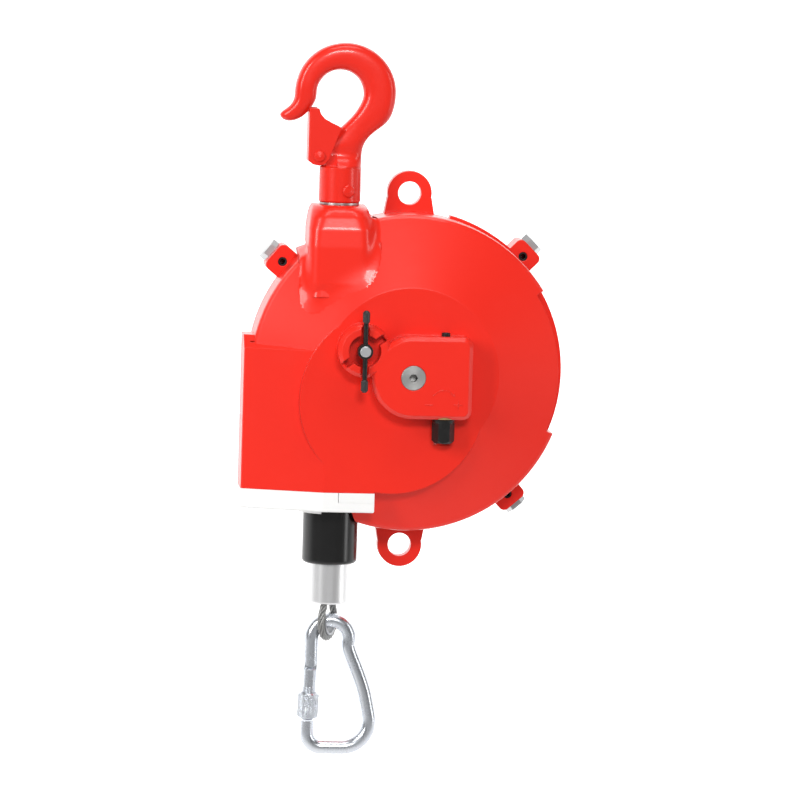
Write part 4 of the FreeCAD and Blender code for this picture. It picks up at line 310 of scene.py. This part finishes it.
def tower_side(side, z):
    """Half a level of the tower's skin, from the foot of its wall round to the middle of the front."""
    half, front, corner = tower_size(z)
    ground = cone_front(side * half, z)
    spread = fillet * min(max((fillet_ends - ground) / fillet_fade, 0.0), 1.0)
    foot = max(ground, front + corner)
    bare = [(half, foot + (front + corner - foot) * (step / wall_steps) ** 1.5, 1.0, 0.0)
            for step in range(wall_steps)]
    for step in range(corner_steps + 1):
        turn = math.radians(90 / corner_steps * step)
        bare.append((half - corner * (1 - math.cos(turn)), front + corner * (1 - math.sin(turn)),
                     math.cos(turn), math.sin(turn)))
    bare += [((half - corner) * (1 - step / front_steps), front, 0.0, 1.0) for step in range(1, front_steps)]
    skin = []
    for x, y, outward, forward in bare:
        height = cone_front(side * x, z) - y
        near = min(max(1 - height / fillet, 0.0), 1.0)
        moved = side * (x + outward * spread * (1 - math.sqrt(1 - near * near)))
        skin.append(on_cone(moved, z, height, forward))
    return skin


def tower_outline(z):
    """One level of the tower's skin from the left foot round the front to the right foot."""
    front = tower_size(z)[1]
    middle = on_cone(0.0, z, cone_front(0.0, z) - front, 1.0)
    return tower_side(-1, z) + [middle] + list(reversed(tower_side(1, z)))


levels = [-89.1, -89.5, -90.0, -90.6] + [-91.4 - step for step in range(81)]
skin_rows = [tower_outline(z) for z in levels]
wide = len(skin_rows[0])
skin_points = [(x / 1000, y / 1000, z / 1000) for row in skin_rows for x, y, z in row]
skin_faces = []
for row in range(len(levels) - 1):
    upper, lower = row * wide, (row + 1) * wide
    for here in range(wide):
        there = (here + 1) % wide
        skin_faces.append((upper + here, lower + here, lower + there, upper + there))
skin_faces.append(tuple(range(wide)))
skin_faces.append(tuple(reversed(range((len(levels) - 1) * wide, len(levels) * wide))))
skin_mesh = bpy.data.meshes.new("tower_skin")
skin_mesh.from_pydata(skin_points, [], skin_faces)
skin_mesh.shade_smooth()
skin_mesh.materials.append(powder_coat.material)
tower_skin = bpy.data.objects.new("tower_skin", skin_mesh)
bpy.context.scene.collection.objects.link(tower_skin)
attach(tower_skin, "housing")


# ---- Hook ----
# Drop-forged swivel hook with a folded sheet latch, both dipped in the same red paint;
# a pin holds its collar on the swivel stud, whose washer and nut are plain turned steel.

hook_paint = red_paint("red_hook_paint", 0.00010, 0.0006, 0.94)
dress(hook_paint, "hook", "latch", "hook_rivet", "latch_rivet")


def turned_steel(name, colour, roughness, ring_depth, about=None):
    """Bare lathe-turned steel; about is a point on the axis along Y of the tool's rings."""
    steel = Finish(name, metallic=1.0)
    if about is None:
        rings = steel.noise(90.0, 3.0, 0.5, (1.0, 1.0, 22.0))
    else:
        centred = steel.node("Mapping", {"Vector": steel.place, "Location": [-c for c in about]})
        rings = steel.node("TexWave", {"Vector": centred, "Scale": 520.0, "Distortion": 1.5, "Detail": 2.0},
                           {"wave_type": "RINGS", "rings_direction": "Y"}, out="Fac")
    stain = steel.noise(160.0, 5.0, 0.6)
    light = tuple(c * 1.1 for c in colour) + (1.0,)
    shade = tuple(c * 0.82 for c in colour) + (1.0,)
    steel.set("Base Color", steel.blend(stain, light, shade))
    steel.set("Roughness", roughness + stain * 0.12 + rings * 0.06)
    steel.relief(rings, ring_depth, 0.0003)
    return steel


stud_steel = turned_steel("turned_steel", (0.50, 0.50, 0.49), 0.28, 0.00001)
spring_steel = turned_steel("spring_steel", (0.20, 0.20, 0.22), 0.32, 0.00001)
dress(stud_steel, "swivel_stud", "swivel_washer", "thrust_washer", "swivel_nut")
dress(spring_steel, "latch_spring", "mainspring")


# ---- Casing bolts and pins ----
# Zinc-plated steel bolts through the four rim bosses, slotted roll pins beside them, and the small
# zinc-plated screws of the rope guide, the spring cover and the gear carrier.

def zinc_plate(name, colour, roughness):
    """Bright zinc: a faint blue cast, soft clouding and hairline scratches."""
    zinc = Finish(name, metallic=1.0)
    cloud = zinc.noise(120.0, 4.0, 0.6)
    scratches = zinc.noise(700.0, 2.0, 0.5, (1.0, 1.0, 0.12))
    light = tuple(colour) + (1.0,)
    shade = (colour[0] * 0.80, colour[1] * 0.83, colour[2] * 0.88, 1.0)
    zinc.set("Base Color", zinc.blend(cloud, light, shade))
    zinc.set("Roughness", roughness + cloud * 0.14 + scratches * 0.08)
    zinc.relief(scratches * 0.5 + cloud * 0.5, 0.00002, 0.0003)
    return zinc


bolt_zinc = zinc_plate("zinc_plated_bolts", (0.60, 0.60, 0.59), 0.26)
dress(bolt_zinc, "casing_bolts", "guide_screws", "spring_cover_screws", "carrier_screws")


def black_oxide(name, level, roughness):
    """Blackened steel with slightly brighter, oily patches."""
    black = Finish(name, metallic=0.55)
    oil = black.noise(230.0, 5.0, 0.6)
    dry, oily = (level, level, level, 1.0), (level * 2.4, level * 2.3, level * 2.2, 1.0)
    black.set("Base Color", black.blend(oil, dry, oily))
    black.set("Roughness", roughness + oil * 0.18)
    black.relief(black.noise(900.0, 3.0), 0.00003, 0.0004)
    return black


black_steel = black_oxide("black_oxide_steel", 0.012, 0.26)
dress(black_steel, "roll_pins", "thrust_screw", "worm_shaft", "lock_head", "lock_lever")


# ---- Rope guide ----
# White nylon plate screwed under the chute, bored for the rope, with a small slide-in insert;
# moulded with a satin surface that takes faint scuffs.

nylon = Finish("white_nylon", subsurface_weight=0.15, subsurface_radius=(0.002, 0.002, 0.0018))
mottle = nylon.noise(40.0, 3.0)
scuff = nylon.steps(nylon.noise(260.0, 6.0, 0.7, (1.0, 1.0, 3.0)), (0.5, 0.0), (0.75, 1.0))
nylon.set("Base Color", nylon.blend(mottle, (0.86, 0.86, 0.85, 1.0), (0.80, 0.80, 0.79, 1.0)))
nylon.set("Roughness", 0.42 + mottle * 0.08 + scuff * 0.15)
nylon.relief(nylon.noise(800.0, 2.0) * 0.5 + scuff * 0.5, 0.00004, 0.0006)
dress(nylon, "rope_guide", "guide_insert")


# ---- Shaft, gearing and drum ----
# Turned steel shaft with a faced end, keyed bronze worm wheel and bushes, a die-cast rope drum with
# its spring chamber, and the cast plate that carries the gearing. All but the shaft's end is inside.

shaft_steel = turned_steel("faced_shaft_steel", (0.40, 0.40, 0.39), 0.38, 0.00004, (0.048, 0.0, -0.199))
dress(shaft_steel, "main_shaft", "shaft_keys", "spring_arbor", "spring_cover")

bronze = Finish("sintered_bronze", metallic=1.0)
pores = bronze.noise(1400.0, 4.0, 0.7)
bronze.set("Base Color", bronze.blend(pores, (0.62, 0.38, 0.17, 1.0), (0.45, 0.27, 0.12, 1.0)))
bronze.set("Roughness", 0.34 + pores * 0.2)
bronze.relief(pores, 0.00003, 0.0003)
dress(bronze, "worm_wheel", "front_bush", "rear_bush", "worm_bush", "drum_front_bush", "drum_rear_bush")

die_casting = Finish("bare_die_casting", metallic=0.9)
skin = die_casting.noise(300.0, 5.0, 0.6)
die_casting.set("Base Color", die_casting.blend(skin, (0.62, 0.62, 0.63, 1.0), (0.50, 0.50, 0.51, 1.0)))
die_casting.set("Roughness", 0.45 + skin * 0.2)
die_casting.relief(skin, 0.00005, 0.0006)
dress(die_casting, "rope_drum", "gear_carrier")


# ---- Lock ----
# Zinc-plated plunger in the worm housing with a blackened cross lever; two plastic caps sit on its ends.

dress(zinc_plate("zinc_plunger", (0.62, 0.62, 0.62), 0.30), "lock_pin")

cap_plastic = Finish("black_cap_plastic")
sheen = cap_plastic.noise(150.0, 3.0)
cap_plastic.set("Base Color", cap_plastic.blend(sheen, (0.014, 0.014, 0.015, 1.0),
                                                (0.030, 0.030, 0.031, 1.0)))
cap_plastic.set("Roughness", 0.34 + sheen * 0.15)
cap_plastic.relief(cap_plastic.noise(1500.0, 2.0), 0.00002, 0.0003)
dress(cap_plastic, "lever_caps")


# ---- Rope end ----
# Galvanised steel rope of six strands round a core, a moulded rubber bumper, and an aluminium ferrule
# pressed over the rope and both legs of its loop; a bent steel thimble lines the loop.

def winding_tree():
    """Strands wound side by side round a path: a rope, a knurl or a thread, by its sizes."""
    tree = bpy.data.node_groups.new("winding", "GeometryNodeTree")
    interface = tree.interface
    interface.new_socket("Geometry", in_out="INPUT", socket_type="NodeSocketGeometry")
    for name, kind in (("Strands", "Int"), ("Winding Radius", "Float"), ("Strand Radius", "Float"),
                       ("Turns Per Metre", "Float"), ("Step", "Float"), ("Sides", "Int"),
                       ("Finish", "Material")):
        interface.new_socket(name, in_out="INPUT", socket_type="NodeSocket" + kind)
    interface.new_socket("Geometry", in_out="OUTPUT", socket_type="NodeSocketGeometry")
    sizes = tree.nodes.new("NodeGroupInput").outputs

    def add(kind, sockets, settings=None, out=0):
        made = tree.nodes.new(kind)
        for name, value in (settings or {}).items():
            setattr(made, name, value)
        for key, value in sockets.items():
            if isinstance(value, bpy.types.NodeSocket):
                tree.links.new(value, made.inputs[key])
            else:
                made.inputs[key].default_value = value
        return made.outputs[out]

    def number(operation, first, second=0.0):
        return add("ShaderNodeMath", {0: first, 1: second}, {"operation": operation})

    def vector(operation, first, second):
        key = 3 if operation == "SCALE" else 1
        return add("ShaderNodeVectorMath", {0: first, key: second}, {"operation": operation})

    path = add("GeometryNodeResampleCurve", {"Curve": sizes["Geometry"], "Length": sizes["Step"]},
               {"mode": "LENGTH"})
    copies = tree.nodes.new("GeometryNodeDuplicateElements")
    copies.domain = "SPLINE"
    tree.links.new(path, copies.inputs["Geometry"])
    tree.links.new(sizes["Strands"], copies.inputs["Amount"])
    share = number("DIVIDE", copies.outputs["Duplicate Index"], sizes["Strands"])
    along = add("GeometryNodeSplineParameter", {}, out="Length")
    turns = number("ADD", share, number("MULTIPLY", along, sizes["Turns Per Metre"]))
    phase = number("MULTIPLY", turns, 2 * math.pi)
    normal = add("GeometryNodeInputNormal", {})
    side = vector("CROSS_PRODUCT", add("GeometryNodeInputTangent", {}), normal)
    spread = vector("ADD", vector("SCALE", normal, number("COSINE", phase)),
                    vector("SCALE", side, number("SINE", phase)))
    offset = vector("SCALE", spread, sizes["Winding Radius"])
    marked = add("GeometryNodeStoreNamedAttribute",
                 {"Geometry": copies.outputs["Geometry"], "Name": "along", "Value": along},
                 {"data_type": "FLOAT", "domain": "POINT"})
    wound = add("GeometryNodeSetPosition", {"Geometry": marked, "Offset": offset})
    ring = add("GeometryNodeCurvePrimitiveCircle",
               {"Resolution": sizes["Sides"], "Radius": sizes["Strand Radius"]})
    around = add("GeometryNodeSplineParameter", {}, out="Factor")
    ring = add("GeometryNodeStoreNamedAttribute", {"Geometry": ring, "Name": "around", "Value": around},
               {"data_type": "FLOAT", "domain": "POINT"})
    tubes = add("GeometryNodeCurveToMesh", {"Curve": wound, "Profile Curve": ring, "Fill Caps": True})
    solid = add("GeometryNodeRealizeInstances", {"Geometry": tubes})
    painted = add("GeometryNodeSetMaterial", {"Geometry": solid, "Material": sizes["Finish"]})
    tree.links.new(painted, tree.nodes.new("NodeGroupOutput").inputs["Geometry"])
    return tree


winding = winding_tree()


def wind(name, points, sizes, finish, body):
    """Winds strands along a path of points and returns them as one plain mesh."""
    route = bpy.data.curves.new(name + "_route", "CURVE")
    route.dimensions = "3D"
    spline = route.splines.new("POLY")
    spline.points.add(len(points) - 1)
    for point, place in zip(spline.points, points):
        point.co = (*place, 1.0)
    carrier = bpy.data.objects.new(name + "_route", route)
    wrap = carrier.modifiers.new("winding", "NODES")
    wrap.node_group = winding
    values = dict(sizes, Finish=finish.material)
    for item in winding.interface.items_tree:
        if item.in_out == "INPUT" and item.name in values:
            wrap[item.identifier] = values[item.name]
    return plain_mesh(carrier, name, body)


def wire_rope_finish(name, dark):
    """Galvanised wires: fine lay marks twisted along each strand, with painted shade darkening the hollows
    between the wires, and random grime.
    """
    wire = Finish(name, metallic=1.0)
    around = wire.node("Attribute", {}, {"attribute_name": "around"}, out="Fac")
    along = wire.node("Attribute", {}, {"attribute_name": "along"}, out="Fac")
    wires_round, wires_along = 2 * math.pi * 6, 5200.0
    twist = around * wires_round + along * wires_along
    lay = wire.node("Math", {0: twist}, {"operation": "SINE"}) * 0.5 + 0.5
    grime = wire.noise(300.0, 4.0, 0.6)
    # painted shade: the colour darkens to under half where the lay pattern dips into the hollows between
    # wires; the grime noise adds random dirt
    wire.set("Base Color", wire.blend(lay * 0.6 + grime * 0.4, (dark * 0.45, dark * 0.45, dark * 0.44, 1.0),
                                      (dark, dark, dark * 0.99, 1.0)))
    wire.set("Roughness", 0.36 + grime * 0.18 - lay * 0.08)
    wire.relief(lay, 0.00012)
    return wire


rope_radius = 0.0025
rope_sizes = {"Strands": 6, "Winding Radius": rope_radius * 0.66, "Strand Radius": rope_radius * 0.345,
              "Turns Per Metre": 37.0, "Step": 0.0007, "Sides": 14}
core_sizes = {"Strands": 1, "Winding Radius": 0.0, "Strand Radius": rope_radius * 0.36,
              "Turns Per Metre": 0.0, "Step": 0.002, "Sides": 10}
rope_wire = wire_rope_finish("galvanised_wire", 0.42)

ferrule_low, loop_radius, loop_drop, loop_spread = -0.3544, 0.0116, 0.0119, 0.0070
loop_turn, bend_steps = math.radians(64.0), 40
leg_depth, leg_bend, leg_start = 0.012, 0.0005, 0.0015
loop_middle = ferrule_low - loop_drop
leg_corner = Vector((loop_spread, ferrule_low - leg_start))
reach = leg_corner - Vector((0.0, loop_middle))
touch = math.atan2(reach.y, reach.x) - math.acos(loop_radius / reach.length)
loop_route = [(loop_spread, ferrule_low + leg_depth), (loop_spread, ferrule_low + leg_bend),
              (loop_spread + 0.0003, ferrule_low - leg_start)]
sweep_angle = math.pi + 2 * touch
for step in range(bend_steps + 1):
    turn = touch - sweep_angle * step / bend_steps
    loop_route.append((loop_radius * math.cos(turn), loop_middle + loop_radius * math.sin(turn)))
loop_route += [(-x, z) for x, z in reversed(loop_route[:3])]
loop_points = [(x * math.cos(loop_turn), x * math.sin(loop_turn), z) for x, z in loop_route]
loop_strands = wind("rope_loop_strands", loop_points, rope_sizes, rope_wire, "rope_end")
wind("rope_loop_core", loop_points, core_sizes, rope_wire, "rope_end")
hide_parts("rope_loop")
dress(rope_wire, "rope_run", "rope_on_drum")

rubber = Finish("black_rubber")
bloom = rubber.noise(60.0, 4.0, 0.6)
grain = rubber.noise(1300.0, 3.0)
rubber.set("Base Color", rubber.blend(bloom, (0.004, 0.004, 0.004, 1.0), (0.009, 0.009, 0.009, 1.0)))
rubber.set("Roughness", 0.15 + bloom * 0.08 + grain * 0.04)
rubber.relief(grain, 0.00002, 0.0006)
dress(rubber, "bumper")

pressed = Finish("pressed_aluminium", metallic=1.0)
die_lines = pressed.noise(420.0, 3.0, 0.5, (1.0, 1.0, 0.03))
haze = pressed.noise(70.0, 3.0)
pressed.set("Base Color", pressed.blend(haze, (0.92, 0.92, 0.92, 1.0), (0.82, 0.82, 0.83, 1.0)))
pressed.set("Roughness", 0.28 + die_lines * 0.10 + haze * 0.05)
pressed.relief(die_lines, 0.00003, 0.0005)
dress(pressed, "ferrule")
dress(zinc_plate("zinc_thimble", (0.50, 0.50, 0.50), 0.34), "thimble")


# ---- Carabiner ----
# Bent from 9 mm round bar and zinc plated after forming, with a hinged gate and a knurled sleeve
# that runs on the gate's thread.

carabiner_zinc = zinc_plate("zinc_plated_carabiner", (0.74, 0.76, 0.79), 0.16)
dress(carabiner_zinc, "carabiner_bow", "carabiner_pin", "carabiner_gate", "screw_sleeve")

lean = math.atan2(0.0015, 0.0403)
gate_hinge = Vector((-0.0103, 0.0, -0.393))
down_gate = Vector((-math.sin(lean), 0.0, -math.cos(lean)))


def gate_line(start, end, count=12):
    return [gate_hinge + down_gate * (start + (end - start) * i / count) for i in range(count + 1)]


knurl_top, knurl_end, thread_top, thread_end = 0.0234, 0.0380, 0.0182, 0.0222
knurl_sizes = {"Strands": 30, "Winding Radius": 0.00672, "Strand Radius": 0.00028, "Turns Per Metre": 26.0,
               "Step": 0.0009, "Sides": 4}
for name, hand in (("knurl_right", 1.0), ("knurl_left", -1.0)):
    ridges = dict(knurl_sizes)
    ridges["Turns Per Metre"] *= hand
    wind(name, gate_line(knurl_top, knurl_end), ridges, carabiner_zinc, "sleeve")

thread_sizes = {"Strands": 1, "Winding Radius": 0.00445, "Strand Radius": 0.00035,
                "Turns Per Metre": 1000.0, "Step": 0.00006, "Sides": 6}
wind("gate_thread", gate_line(thread_top, thread_end), thread_sizes, carabiner_zinc, "gate")
